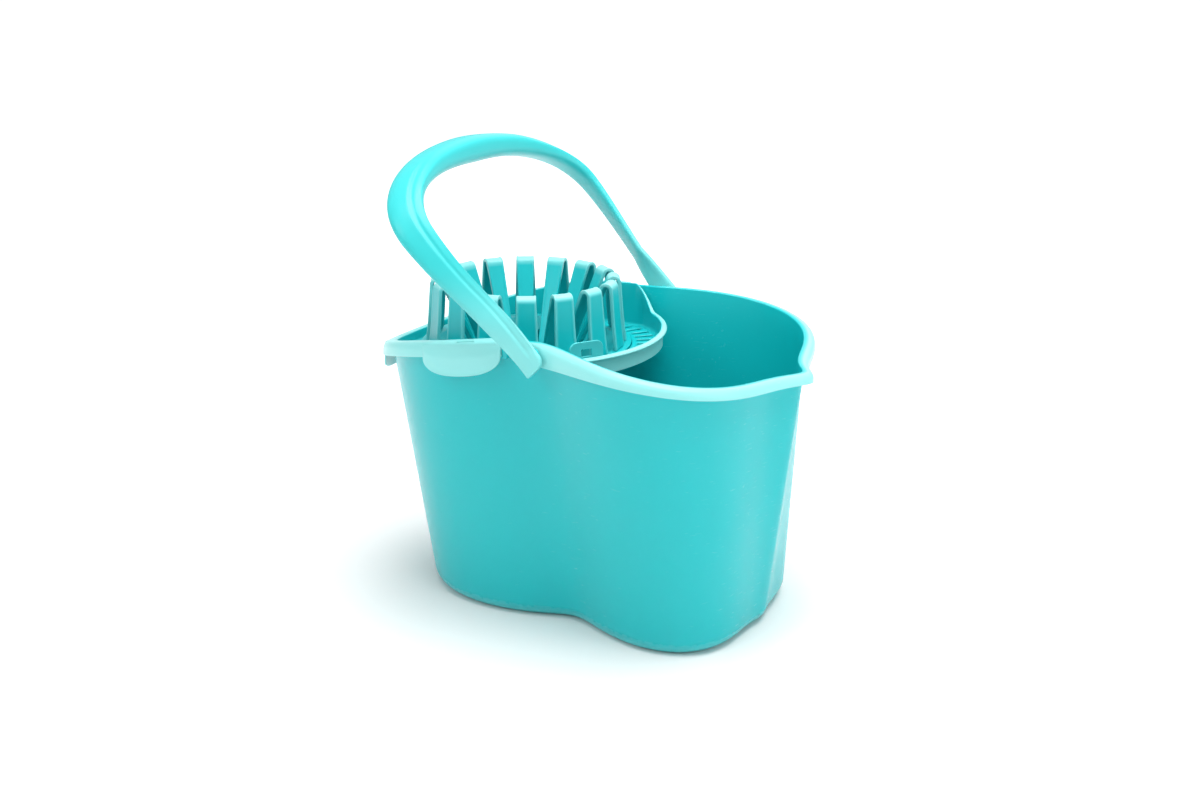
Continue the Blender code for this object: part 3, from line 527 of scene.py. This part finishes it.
def bail_line(samples):
    """Middle line of the bail in (Y, height over the pivots), and the share of the way to the crown.

    The arms bulge with the square of a sine, the crown is a superellipse and the tails run straight down.
    """
    half_span = BOSS_FACE + HUB_OUTER - BAND_THICKNESSES[0] / 2
    low = BAIL_WIDEST * BAIL_REACH
    height = np.linspace(0, low, 200)
    side = half_span + BAIL_BULGE * np.sin(height / low * math.pi / 2) ** 2
    sweep = np.linspace(0, math.pi / 2, 600)[1:]
    crown_side = (half_span + BAIL_BULGE) * np.cos(sweep) ** (2 / BAIL_CROWN)
    crown_height = low + (BAIL_REACH - low) * np.sin(sweep) ** (2 / BAIL_CROWN)
    half = np.column_stack([np.r_[side, crown_side], np.r_[height, crown_height]])
    whole = np.vstack([half * (-1, 1), half[::-1][1:]])
    length = np.r_[0, np.cumsum(np.linalg.norm(np.diff(whole, axis=0), axis=1))]
    at = np.linspace(0, length[-1], samples)
    arch = np.column_stack([np.interp(at, length, whole[:, 0]), np.interp(at, length, whole[:, 1])])
    fade = np.concatenate([[0, 0.0012, 0.004, 0.01, 0.025, 0.05, 0.08, 0.12], np.linspace(0.17, 0.95, 20)])
    tail = np.column_stack([np.full(len(fade), half_span), -TAIL_LENGTH * (1 - fade)])
    share = 1 - np.abs(np.linspace(-1, 1, samples))
    none = np.zeros(len(fade))
    return np.vstack([tail * (-1, 1), arch, tail[::-1]]), np.r_[none, share, none]


line, share = bail_line(261)
along = np.gradient(line, axis=0)
along /= np.linalg.norm(along, axis=1)[:, None]
stops = np.linspace(0, 1, len(BAND_WIDTHS))
width = np.interp(share, stops, BAND_WIDTHS)
thickness = np.interp(share, stops, BAND_THICKNESSES)
kernel = np.hanning(23) / np.hanning(23).sum()
width = np.convolve(np.pad(width, 11, "edge"), kernel, "valid")
thickness = np.convolve(np.pad(thickness, 11, "edge"), kernel, "valid") - 0.0002
cant = BAND_CANT * np.clip(share / 0.16, 0, 1) ** 1.5
ahead = BAND_OFFSET * np.clip(1 - share / 0.3, 0, 1)
below = np.clip((-line[:, 1] - TAIL_LENGTH + TAIL_ROUND) / TAIL_ROUND, 0, 1)
rounding = TAIL_ROUND * (1 - np.sqrt(1 - below ** 2))
width = width - rounding
ahead = ahead - rounding / 2
end_shrink = np.sqrt(1 - np.clip((-line[:, 1] - TAIL_LENGTH + END_ROUND) / END_ROUND, 0, 1) ** 2)
edge_loss = END_ROUND * 2 * (1 - end_shrink)

CORNERS = 72
SQUARENESS = 3.0
turn = np.arange(CORNERS) * FULL_TURN / CORNERS
cos, sin = np.cos(turn), np.sin(turn)
size = (np.abs(cos) ** SQUARENESS + np.abs(sin) ** SQUARENESS) ** (-1 / SQUARENESS)
across, through = cos * size / 2, sin * size / 2
on_arm = 1 - ramp(share, 0.62, 0.80)
outer_face = ramp(through, 0.15, 0.42)
groove = np.exp(-((across - GROOVE_AT) / 0.045) ** 2) * outer_face * GROOVE_DEPTH
flange = ramp(across, GROOVE_AT, GROOVE_AT + 0.05) * outer_face * FLANGE_STEP
lowered = on_arm[:, None] * (groove + flange)[None] * ramp(share, -0.01, 0.03)[:, None]
outward = np.column_stack([0 * along[:, 0], -along[:, 1], along[:, 0]])
forward = np.array([1.0, 0.0, 0.0])
wide_way = forward * np.cos(cant)[:, None] - outward * np.sin(cant)[:, None]
thin_way = forward * np.sin(cant)[:, None] + outward * np.cos(cant)[:, None]
middle = np.column_stack([ahead, line[:, 0], line[:, 1]])
wide = np.maximum(width - edge_loss, 0.001)[:, None] * across[None]
deep = np.maximum(thickness - edge_loss, 0.001)[:, None] * through[None] - lowered
grid = middle[:, None] + wide[..., None] * wide_way[:, None] + deep[..., None] * thin_way[:, None]


def leaned(points):
    """Local bail coordinates turned by the lean about the pivot axis and lifted to the pivots."""
    x, y, z = points[..., 0], points[..., 1], points[..., 2]
    c, s = math.cos(BAIL_LEAN), math.sin(BAIL_LEAN)
    return np.stack([x * c - z * s, y, x * s + z * c + PIVOT_Z], axis=-1)


BAIL_COLOUR = (0.020, 0.520, 0.535)
bail_plastic = plastic("bail polypropylene", BAIL_COLOUR, 0.32)
tips = leaned(np.array([middle[0], middle[-1]]))
bail = skin("bail_band", leaned(grid), poles=(tips[0], tips[1]), sharp=50)
spots = points_of(bail)
height = (spots[:, 2] - PIVOT_Z) / BAIL_REACH
# Painted highlight on the bail: a little all along, much more on the lower arms near the pivots.
give_painted_highlight(bail, 0.06 + 0.64 * (1 - ramp(height, 0.02, 0.40)))
fit(bail, "bail_body", "bail plastic", bail_plastic, "bail_handle")

# Inside each end of the bail stands a round pad with a short stud that turns in the tub's boss.
PAD_GAP = 0.0004
PAD_SUNK = 0.0040
STUD_LENGTH = 0.0080
for side, end in ((-1, "front"), (1, "rear")):
    face = BOSS_FACE + PAD_GAP
    profile = [(HUB_RADIUS + 0.0008, HUB_OUTER - PAD_SUNK), (HUB_RADIUS, HUB_OUTER - PAD_SUNK - 0.0020),
               (HUB_RADIUS, 0.0010), (HUB_RADIUS - 0.0002, 0.0004), (HUB_RADIUS - 0.0008, 0.0),
               (STUD_RADIUS + 0.0006, 0.0), (STUD_RADIUS, -0.0006),
               (STUD_RADIUS, 0.0008 - STUD_LENGTH), (STUD_RADIUS - 0.0006, -STUD_LENGTH)]
    pad = turned("bail_stud_" + end, profile, (0, side * face, PIVOT_Z), (0, side, 0),
                 poles=((0, side * (face + HUB_OUTER - PAD_SUNK), PIVOT_Z),
                        (0, side * (face - STUD_LENGTH), PIVOT_Z)))
    fit(pad, "bail_body", "bail plastic", bail_plastic)


# ------------------------------------------------------------------ wringer tray
# The wringer is a second moulding that drops into the tub's left lobe: a slotted ledge round the
# cone, a low dividing lip across the waist, and a rolled cap that sits over the tub's own rim.
cone_low, cone_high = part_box("wringer_cone")
WRINGER_X = (cone_low.x + cone_high.x) / 2
COLLAR_RADIUS = 0.0900
LIP_RADIUS = 0.1150
LIP_HEIGHT = 0.2275
LIP_BEAD = 0.0034
LIP_ROLL = 0.0036
LEDGE_HEIGHT = 0.2075
LEDGE_SLOPE = 0.060
TRAY_WALL = 0.0018
FIT_GAP = 0.0005
CAP_SKIRT = 0.0125
CAP_ROLL = 3.2
CAP_END_ROUND = 0.0035
CREST_ROUND = 0.0009
JOIN_GAP = 0.0003
WRINGER_COLOUR = (0.004, 0.500, 0.530)
wringer_plastic = plastic("wringer polypropylene", WRINGER_COLOUR, 0.30)


def ledge_at(x):
    """Height of the sloping ledge: its middle height plus slope times the distance along X."""
    return LEDGE_HEIGHT + LEDGE_SLOPE * (x - WRINGER_X)


fine = np.linspace(-math.pi, math.pi, 2880, endpoint=False)
fine_top = rim_height(fine)
fine_x = wall_radius(fine, fine_top, 0) * np.cos(fine)
cap_reader = radius_reader(outline(0), WRINGER_X)


def about_cone(radius):
    """Reader about the cone's axis for a plan curve given as radii at the fine angles."""
    return radius_reader(np.column_stack([radius * np.cos(fine), radius * np.sin(fine)]), WRINGER_X)


high_reader = about_cone(wall_radius(fine, fine_top, WALL + FIT_GAP))
low_reader = about_cone(wall_radius(fine, ledge_at(fine_x) - TRAY_WALL, WALL + FIT_GAP))

about = np.linspace(0, FULL_TURN, 540, endpoint=False)
probe = np.linspace(0, math.pi, 8001)
probe_x = WRINGER_X + cap_reader(probe) * np.cos(probe)
cap_from = float(probe[np.argmax(probe_x < CAP_END)])
dense = cap_from + np.radians(np.concatenate([np.arange(-0.6, 0.1, 0.05), np.arange(0.1, 2.6, 0.14)]))
about = np.unique(np.round(np.concatenate([about, dense, FULL_TURN - dense]), 6))
about = about[np.append(True, np.diff(about) > math.radians(0.03))]


def rim_over(radius, at):
    """Rim height above the point at a radius and angle round the cone's axis."""
    return rim_height(np.arctan2(radius * np.sin(at), WRINGER_X + radius * np.cos(at)))


outside = np.minimum(high_reader(about), LIP_RADIUS + TRAY_WALL)
outside_low = np.minimum(low_reader(about), LIP_RADIUS + TRAY_WALL)
inside, inside_low = outside - TRAY_WALL, outside_low - TRAY_WALL
ledge = ledge_at(WRINGER_X + inside_low * np.cos(about))
near_wall = np.clip(1 - (high_reader(about) - outside) / 0.030, 0, 1)
crest = rim_over(inside, about) + JOIN_GAP + TRAY_WALL
outer = cap_reader(about)
outer_x = WRINGER_X + outer * np.cos(about)
past_end = (CAP_END - outer_x) / CAP_END_ROUND
cap_share = np.sqrt(1 - (1 - np.clip(past_end, 0, 1)) ** 2)
is_cap = past_end > 0
lip_top = LIP_HEIGHT + (crest - LIP_HEIGHT) * near_wall ** 2
tray_top = np.where(is_cap, crest, lip_top)
bead = LIP_BEAD * (1 - near_wall)
brow = rim_over(outer, about) + JOIN_GAP + TRAY_WALL
skirt_low = CAP_SKIRT * (0.55 + 0.45 * cap_share)


def tray_ring(radius, height):
    """Points at a radius and height round the cone's axis, for every tray angle."""
    return np.stack([WRINGER_X + radius * np.cos(about), radius * np.sin(about), height + 0 * about],
                    axis=-1)


rows = []
INNER_ROUND = 0.0025
for t in np.linspace(0, math.pi / 2, 6):
    rows.append(tray_ring(inside_low - INNER_ROUND + INNER_ROUND * math.sin(t),
                          ledge + INNER_ROUND * (1 - math.cos(t))))
for t in np.linspace(0, 1, 9)[1:]:
    height = ledge + INNER_ROUND + (tray_top - CREST_ROUND - ledge - INNER_ROUND) * t
    rows.append(tray_ring(inside_low + (inside - inside_low) * t, height))
for t in np.radians([30, 60, 90]):
    rows.append(tray_ring(inside + CREST_ROUND * (1 - math.cos(t)),
                          tray_top - CREST_ROUND + CREST_ROUND * math.sin(t)))
rolled = np.linspace(0, math.pi / 2, 18)[1:]
reach = (outer - inside - CREST_ROUND) * cap_share
for t in rolled:
    out = inside + CREST_ROUND + reach * math.sin(t) ** (2 / CAP_ROLL)
    level = crest + (brow - crest) * math.sin(t)
    down = skirt_low * (1 - math.cos(t) ** (2 / CAP_ROLL))
    swing = (t / rolled[-1]) * math.pi
    lip_out = outside - CREST_ROUND + (bead + CREST_ROUND) * np.sin(swing) ** 0.8
    lip_out = np.maximum(lip_out, outside - CREST_ROUND * (1 - t / rolled[-1]))
    lip_down = LIP_ROLL * (1 - math.cos(swing)) / 2
    rows.append(tray_ring(np.where(is_cap, out, lip_out),
                          np.where(is_cap, level - down, tray_top - lip_down)))
shelf = 0.0037
for index, (inward, lift) in enumerate(((0.0004, -0.0004), (0.0014, -0.0004), (0.0018, 0.0))):
    rows.append(tray_ring(np.where(is_cap, inside + CREST_ROUND + reach - inward * cap_share, outside),
                          np.where(is_cap, brow - skirt_low + lift, tray_top - shelf - 0.0002 * index)))
for index, t in enumerate(np.linspace(math.pi / 2, 0, 8)):
    out = outside + np.maximum(reach - TRAY_WALL * 1.5, 0) * math.sin(t) ** (2 / CAP_ROLL)
    level = crest + (brow - crest) * math.sin(t)
    down = TRAY_WALL + (skirt_low - TRAY_WALL) * (1 - math.cos(t) ** (2 / CAP_ROLL))
    rows.append(tray_ring(np.where(is_cap, out, outside),
                          np.where(is_cap, level - down, tray_top - shelf - 0.0006 - 0.0002 * index)))
rows.append(tray_ring(outside_low, ledge - TRAY_WALL))
rows.append(tray_ring(inside_low - INNER_ROUND, ledge - TRAY_WALL))
tray = skin("wringer_tray_wall", np.array(rows), along=True, sharp=40)


def cut(piece, cutters):
    """Take closed cutter pieces out of a piece with an exact Boolean, then remove them."""
    for cutter in cutters:
        modifier = piece.modifiers.new("cut", "BOOLEAN")
        modifier.operation = "DIFFERENCE"
        modifier.solver = "EXACT"
        modifier.object = cutter
    bpy.context.view_layer.update()
    result = bpy.data.meshes.new_from_object(piece.evaluated_get(bpy.context.evaluated_depsgraph_get()))
    piece.modifiers.clear()
    piece.data = result
    for cutter in cutters:
        bpy.data.objects.remove(cutter, do_unlink=True)
    return piece


def block(name, centre, ways, sizes):
    """Box of full sizes along three unit directions about a centre."""
    signs = np.array([(-1, -1, -1), (1, -1, -1), (1, 1, -1), (-1, 1, -1),
                      (-1, -1, 1), (1, -1, 1), (1, 1, 1), (-1, 1, 1)]) / 2
    points = np.asarray(centre) + (signs * np.asarray(sizes)) @ np.asarray(ways)
    grid = np.array([points[:4], points[4:]])
    return skin(name, grid, poles=(points[:4].mean(axis=0), points[4:].mean(axis=0)))


FLAP_ANGLES = {"front_lift_flap": math.radians(-116), "rear_lift_flap": math.radians(116),
               "end_lift_flap": math.radians(-171)}
SLOT_LENGTH = 0.0150
SLOT_WIDTH = 0.0016


def rim_frame(at, outset):
    """Points on the rim's plan moved out by outset, with outward and sideways unit vectors."""
    reader = radius_reader(outline(-outset), 0.0)
    step = 0.004
    around = np.stack([at - step, at, at + step])
    radius = reader(around)
    points = np.stack([radius * np.cos(around), radius * np.sin(around)], axis=-1)
    way = points[2] - points[0]
    way = way / np.linalg.norm(way, axis=-1, keepdims=True)
    return points[1], np.stack([way[..., 1], -way[..., 0]], axis=-1), way


cutters = []
for flap_name, flap_angle in FLAP_ANGLES.items():
    point, outward2, way2 = rim_frame(np.array(flap_angle), -0.0042)
    centre = (point[0], point[1], float(rim_height(flap_angle)) + 0.002)
    ways = ((*outward2, 0), (*way2, 0), (0, 0, 1))
    cutters.append(block(flap_name + "_slot", centre, ways, (SLOT_WIDTH, SLOT_LENGTH, 0.009)))
cut(tray, cutters)
spots = points_of(tray)
round_at = np.arctan2(spots[:, 1], spots[:, 0] - WRINGER_X)
wall_in = np.minimum(high_reader(round_at), LIP_RADIUS + TRAY_WALL) - TRAY_WALL
past_wall = np.hypot(spots[:, 0] - WRINGER_X, spots[:, 1]) - wall_in
# Painted highlight on the cap's roll, where it stands out past the tray's wall near the top.
give_painted_highlight(tray, ramp(past_wall, 0.0002, 0.0016) * ramp(spots[:, 2], 0.195, 0.200))
fit(tray, "wringer_body", "wringer plastic", wringer_plastic, "wringer_tray")

# The ledge is a thin sloping plate with a fringe of drain slots; its inner edge carries the cone.
LEDGE_ROWS = 26
SLOT_COUNT = 48
SLOT_MARGIN = 0.0040
LONGEST_SLOT = 0.0220
SHORTEST_SLOT = 0.007
spokes = np.linspace(0, FULL_TURN, SLOT_COUNT * 10, endpoint=False) - FULL_TURN / (SLOT_COUNT * 10)
edge_low = np.minimum(low_reader(spokes), LIP_RADIUS + TRAY_WALL) - TRAY_WALL * 0.5
start = COLLAR_RADIUS + JOIN_GAP
share = np.linspace(0, 1, LEDGE_ROWS)
inner_part = np.minimum(share / 0.15, 1) * SLOT_MARGIN
slot_end = np.minimum(edge_low - TRAY_WALL - SLOT_MARGIN, start + SLOT_MARGIN + LONGEST_SLOT)
middle_part = np.clip((share - 0.15) / 0.6, 0, 1)
outer_part = np.clip((share - 0.75) / 0.25, 0, 1)
radius = (start + inner_part[:, None] + middle_part[:, None] * (slot_end - start - SLOT_MARGIN)[None]
          + outer_part[:, None] * (edge_low - slot_end)[None])
x = WRINGER_X + radius * np.cos(spokes)
grid = np.stack([x, radius * np.sin(spokes), ledge_at(x) - 0.0001], axis=-1)
in_slot = (np.arange(len(spokes)) % 10 < 4)[None] & ((share[:-1] >= 0.15) & (share[1:] <= 0.76))[:, None]
long_enough = (slot_end - start - SLOT_MARGIN > SHORTEST_SLOT) & (np.abs(wrapped(spokes)) > 0.1)
plate = skin("wringer_ledge", grid, keep=~(in_slot & long_enough[None]))
solid = plate.modifiers.new("thickness", "SOLIDIFY")
solid.thickness = TRAY_WALL
solid.offset = -1.0
fit(plate, "wringer_body", "wringer plastic", wringer_plastic)


# ------------------------------------------------------------------ strainer cone
# The mop is pressed into this funnel: a flat collar, a slotted sloping wall and a perforated cup
# at the bottom. It is part of the wringer's moulding and carries the springy fingers.
COLLAR_TOP = 0.2140
COLLAR_INNER = 0.0780
CUP_RADIUS = 0.0370
CUP_TOP = 0.1880
CONE_FLOOR = 0.1630
CONE_WALL = 0.0025
DRAIN_RADIUS = 0.0035
DRAIN_RING = 0.0165
DRAIN_COUNT = 6
FINGER_COUNT = 16
FIRST_FINGER = math.radians(9.0)
SLOPE_FOOT = CUP_TOP - 0.0105

slope_top, slope_end = COLLAR_TOP - 0.0010, CUP_RADIUS + 0.0010
profile = [(COLLAR_RADIUS, COLLAR_TOP - 0.0008), (COLLAR_RADIUS - 0.0003, COLLAR_TOP - 0.0002),
           (COLLAR_RADIUS - 0.0010, COLLAR_TOP), (COLLAR_INNER + 0.0030, COLLAR_TOP),
           (COLLAR_INNER + 0.0012, COLLAR_TOP - 0.0004)]
profile += [(COLLAR_INNER - (COLLAR_INNER - slope_end) * t, slope_top - (slope_top - SLOPE_FOOT) * t)
            for t in np.linspace(0, 1, 22)]
profile = np.array(profile)
PER_FINGER = 20
turn = FIRST_FINGER + np.arange(FINGER_COUNT * PER_FINGER) * FULL_TURN / (FINGER_COUNT * PER_FINGER)
grid = np.stack([WRINGER_X + profile[:, None, 0] * np.cos(turn), profile[:, None, 0] * np.sin(turn),
                 profile[:, None, 1] + 0 * turn], axis=-1)
row_at = np.arange(len(profile) - 1)
slot_rows = (row_at > 9) & (row_at < 21)
slot_columns = np.abs(np.arange(len(turn)) % PER_FINGER - PER_FINGER / 2 + 0.5) < 2.1
funnel = skin("wringer_funnel", grid, keep=~(slot_rows[:, None] & slot_columns[None]), sharp=60)
solid = funnel.modifiers.new("thickness", "SOLIDIFY")
solid.thickness = CONE_WALL
solid.offset = -1.0
fit(funnel, "wringer_body", "wringer plastic", wringer_plastic, "wringer_cone")

cup_inner, inner_floor = CUP_RADIUS - CONE_WALL, CONE_FLOOR + CONE_WALL
cup_profile = [(0.0040, CONE_FLOOR), (CUP_RADIUS - 0.0030, CONE_FLOOR),
               (CUP_RADIUS - 0.0014, CONE_FLOOR + 0.0006), (CUP_RADIUS - 0.0007, CONE_FLOOR + 0.0022),
               (CUP_RADIUS, CUP_TOP - 0.0008), (CUP_RADIUS - 0.0004, CUP_TOP - 0.0001),
               (CUP_RADIUS - 0.0009, CUP_TOP), (CUP_RADIUS - 0.0020, CUP_TOP),
               (CUP_RADIUS - 0.0024, CUP_TOP - 0.0003), (cup_inner, CUP_TOP - 0.0009),
               (cup_inner - 0.0006, inner_floor + 0.0028), (cup_inner - 0.0014, inner_floor + 0.0008),
               (cup_inner - 0.0034, inner_floor), (0.0040, inner_floor)]
cup = turned("wringer_cup", cup_profile, (WRINGER_X, 0, 0), (0, 0, 1), count=128,
             poles=((WRINGER_X, 0, CONE_FLOOR), (WRINGER_X, 0, inner_floor)))
drains = []
drain_low, drain_high = CONE_FLOOR - 0.0040, CONE_FLOOR + 0.0080
drain_places = [(DRAIN_RING, index * FULL_TURN / DRAIN_COUNT) for index in range(DRAIN_COUNT)]
for radius, at in [(0.0, 0.0)] + drain_places:
    x, y = WRINGER_X + radius * math.cos(at), radius * math.sin(at)
    drains.append(turned("drain", [(DRAIN_RADIUS, drain_low), (DRAIN_RADIUS, drain_high)], (x, y, 0),
                         (0, 0, 1), count=28, poles=((x, y, drain_low), (x, y, drain_high))))
cut(cup, drains)
fit(cup, "wringer_body", "wringer plastic", wringer_plastic)


# ------------------------------------------------------------------ wringer fingers
# Sixteen folded strips stand in a ring: the outer leg rises from the collar, folds over a small
# radius, and the inner leg slants down to the cup. They are thin so that they flex as the mop goes in.
FINGER_ROOT = 0.0840
FINGER_TOP_RADIUS = 0.0745
FINGER_TOP = 0.2705
FINGER_FOLD = 0.0045
FINGER_THICKNESS = 0.0026
FINGER_WIDTHS = (0.0195, 0.0158, 0.0100)
EDGE_RIB = 0.0005
END_SOFTEN = 0.0010
END_LOSS = 0.35

foot_z = COLLAR_TOP + JOIN_GAP
top_in = FINGER_TOP_RADIUS - FINGER_ROOT
rise = FINGER_TOP - foot_z - FINGER_THICKNESS / 2
outer_leg = np.array([(0.0, 0.0), (top_in * 0.25, rise * 0.35), (top_in * 0.5 + 0.0005, rise * 0.75),
                      (top_in + FINGER_FOLD, rise - FINGER_FOLD)])
legs_share = np.linspace(0, 1, 22)
coefficients = np.polyfit(outer_leg[:, 1], outer_leg[:, 0], 3)
leg_z = legs_share * (rise - FINGER_FOLD)
leg = np.column_stack([np.polyval(coefficients, leg_z), leg_z])
bend = np.radians(np.linspace(8, 155, 20))
fold = np.column_stack([top_in + FINGER_FOLD * np.cos(bend),
                        rise - FINGER_FOLD + FINGER_FOLD * np.sin(bend)])
foot_in = np.array([CUP_RADIUS - CONE_WALL / 2 - FINGER_ROOT, CUP_TOP + JOIN_GAP - foot_z])
inner_leg = fold[-1] + (foot_in - fold[-1]) * np.linspace(0, 1, 26)[1:, None]
strip = np.vstack([leg, fold, inner_leg])
length = np.r_[0, np.cumsum(np.linalg.norm(np.diff(strip, axis=0), axis=1))]
fold_at = length[len(leg) + 8] / length[-1]
strip_width = np.interp(length / length[-1], [0, fold_at, 1], FINGER_WIDTHS)
run = np.gradient(strip, axis=0)
run /= np.linalg.norm(run, axis=1)[:, None]
normal = np.column_stack([run[:, 1], -run[:, 0]])
turn = np.arange(40) * FULL_TURN / 40
flatness = (np.abs(np.cos(turn)) ** 7 + np.abs(np.sin(turn)) ** 7) ** (-1 / 7)
strip_across, strip_through = np.cos(turn) * flatness / 2, np.sin(turn) * flatness / 2
rib = 1 + ramp(np.abs(strip_across), 0.36, 0.44) * EDGE_RIB / FINGER_THICKNESS * 2
strip_through = strip_through * rib
end_fade = np.minimum(length, length[-1] - length)
shrink = np.sqrt(1 - np.clip(1 - end_fade / END_SOFTEN, 0, 1) ** 2) * END_LOSS + 1 - END_LOSS
deep = strip_through[None] * (FINGER_THICKNESS * shrink)[:, None]
for index in range(FINGER_COUNT):
    at = FIRST_FINGER + index * FULL_TURN / FINGER_COUNT
    out = FINGER_ROOT + strip[:, 0][:, None] + normal[:, 0][:, None] * deep
    up = foot_z + strip[:, 1][:, None] + normal[:, 1][:, None] * deep
    side = strip_across[None] * (strip_width - 0.0008 * (1 - shrink) / END_LOSS)[:, None]
    grid = np.stack([WRINGER_X + out * math.cos(at) - side * math.sin(at),
                     out * math.sin(at) + side * math.cos(at), up], axis=-1)
    number = f"{index + 1:02d}"
    finger = skin("finger_strip_" + number, grid,
                  poles=(grid[0].mean(axis=0), grid[-1].mean(axis=0)), sharp=60)
    spots = points_of(finger)
    aside = np.abs(spots[:, 1] * math.cos(at) - (spots[:, 0] - WRINGER_X) * math.sin(at))
    at_height = np.interp(spots[:, 2], [foot_z, FINGER_TOP], [FINGER_WIDTHS[0], FINGER_WIDTHS[1]])
    at_edge = ramp(aside / at_height, 0.40, 0.47)
    # Painted highlight: half strength along the finger's two edges, full on the fold at its top.
    give_painted_highlight(finger, np.maximum(at_edge * 0.5, ramp(spots[:, 2], FINGER_TOP - 0.006, FINGER_TOP - 0.001)))
    fit(finger, f"finger_{number}_body", "wringer plastic", wringer_plastic, "wringer_finger_" + number)


# ------------------------------------------------------------------ lip tab
# An upright tab on the ledge just inside the dividing lip, with rounded shoulders and a small
# square window; it is moulded with the wringer and gives a grip to lift it by.
TAB_ANGLE = math.radians(-34)
TAB_WIDTH = 0.0300
TAB_HEIGHT = 0.0240
TAB_THICKNESS = 0.0022
TAB_WINDOW = (0.0090, 0.0060)
half = TAB_WIDTH / 2
tab_radius = math.sqrt(LIP_RADIUS ** 2 - half ** 2) - JOIN_GAP - TAB_THICKNESS / 2
tab_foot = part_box("lip_tab")[0].z
ROUND = 0.0065
walk = np.linspace(0, 1, 96, endpoint=False)
arc = np.radians(np.linspace(0, 90, 12))
right = np.column_stack([half - ROUND + ROUND * np.sin(arc), TAB_HEIGHT - ROUND + ROUND * np.cos(arc)])
loop = np.vstack([right, [[half, 0.0], [-half, 0.0]], right[::-1] * (-1, 1)])
loop = np.vstack([loop, loop[:1]])
loop_length = np.r_[0, np.cumsum(np.linalg.norm(np.diff(loop, axis=0), axis=1))]
outer_loop = np.column_stack([np.interp(walk * loop_length[-1], loop_length, loop[:, i]) for i in (0, 1)])
window_mid = np.array([0.0, TAB_HEIGHT - 0.0120 + TAB_WINDOW[1] / 2])
aim_out = outer_loop - window_mid
scale = 1 / np.maximum(np.abs(aim_out[:, 0]) / (TAB_WINDOW[0] / 2),
                       np.abs(aim_out[:, 1]) / (TAB_WINDOW[1] / 2))
window_loop = window_mid + aim_out * scale[:, None]
bevel = 0.5 - 0.0005 / TAB_THICKNESS
edge_loop = outer_loop + (window_mid - outer_loop) * 0.02
sill_loop = window_mid + (window_loop - window_mid) * 1.07
levels = [(edge_loop, 0.5), (outer_loop, bevel), (outer_loop, -bevel), (edge_loop, -0.5),
          (sill_loop, -0.5), (window_loop, -bevel), (window_loop, bevel), (sill_loop, 0.5)]
tab_cos, tab_sin = math.cos(TAB_ANGLE), math.sin(TAB_ANGLE)
rows = []
for flat, level in levels:
    out = tab_radius + level * TAB_THICKNESS
    rows.append(np.column_stack([WRINGER_X + out * tab_cos - flat[:, 0] * tab_sin,
                                 out * tab_sin + flat[:, 0] * tab_cos, tab_foot + flat[:, 1]]))
tab = skin("lip_tab_plate", np.array(rows), along=True, sharp=50)
# Painted highlight: the whole tab goes a quarter of the way to the highlight tone.
give_painted_highlight(tab, np.full(len(tab.data.vertices), 0.25))
fit(tab, "wringer_body", "wringer plastic", wringer_plastic, "lip_tab")


# ------------------------------------------------------------------ lift flaps
# Three half-round flaps hang from the cap, one on each side and one at the end, as finger grips
# for pulling the wringer out. Each swells out of the cap's skirt and flares a little at its foot.
FLAP_WIDTH = 0.0600
FLAP_DROP = 0.0150
FLAP_THICKNESS = 0.0022
FLAP_ROUNDNESS = 2.4
BELOW_CREST = 0.0030
FLARE = 0.0016
SUNK = 0.0007
for flap_name, flap_angle in FLAP_ANGLES.items():
    columns = np.linspace(-1, 1, 91) * 0.9995
    middle_radius = float(radius_reader(outline(0), 0.0)(flap_angle))
    at = flap_angle + columns * FLAP_WIDTH / 2 / middle_radius
    point, outward2, way2 = rim_frame(at, -SUNK)
    crest_z = rim_height(at) + JOIN_GAP + TRAY_WALL
    flap_top = crest_z - BELOW_CREST
    edge = np.sqrt(1 - np.abs(columns) ** FLAP_ROUNDNESS)
    depth = FLAP_DROP * edge + CAP_SKIRT - BELOW_CREST
    flare = FLARE * (1 - columns ** 2)
    rows = []
    for t in np.linspace(0, 1, 16):
        rows.append((flare * t ** 3, flap_top - depth * t))
    for t in np.radians([-60, -20, 20, 60]):
        foot_out = flare + FLAP_THICKNESS * (0.5 + 0.5 * math.sin(t)) * edge
        rows.append((foot_out, flap_top - depth - 0.0008 * math.cos(t)))
    for t in np.linspace(1, 0, 16):
        swell = (SUNK + FLAP_THICKNESS) * edge * ramp(t, 0.0, 0.45)
        rows.append((swell + flare * t ** 3, flap_top - depth * t))
    grid = np.array([np.column_stack([point + outward2 * np.asarray(out)[:, None], z]) for out, z in rows])
    grid = grid.transpose(1, 0, 2)
    flap = skin(flap_name + "_plate", grid, poles=(grid[0].mean(axis=0), grid[-1].mean(axis=0)), sharp=50)
    # Painted highlight: the whole flap has the full highlight tone.
    give_painted_highlight(flap, np.ones(len(flap.data.vertices)))
    fit(flap, "wringer_body", "wringer plastic", wringer_plastic, flap_name)
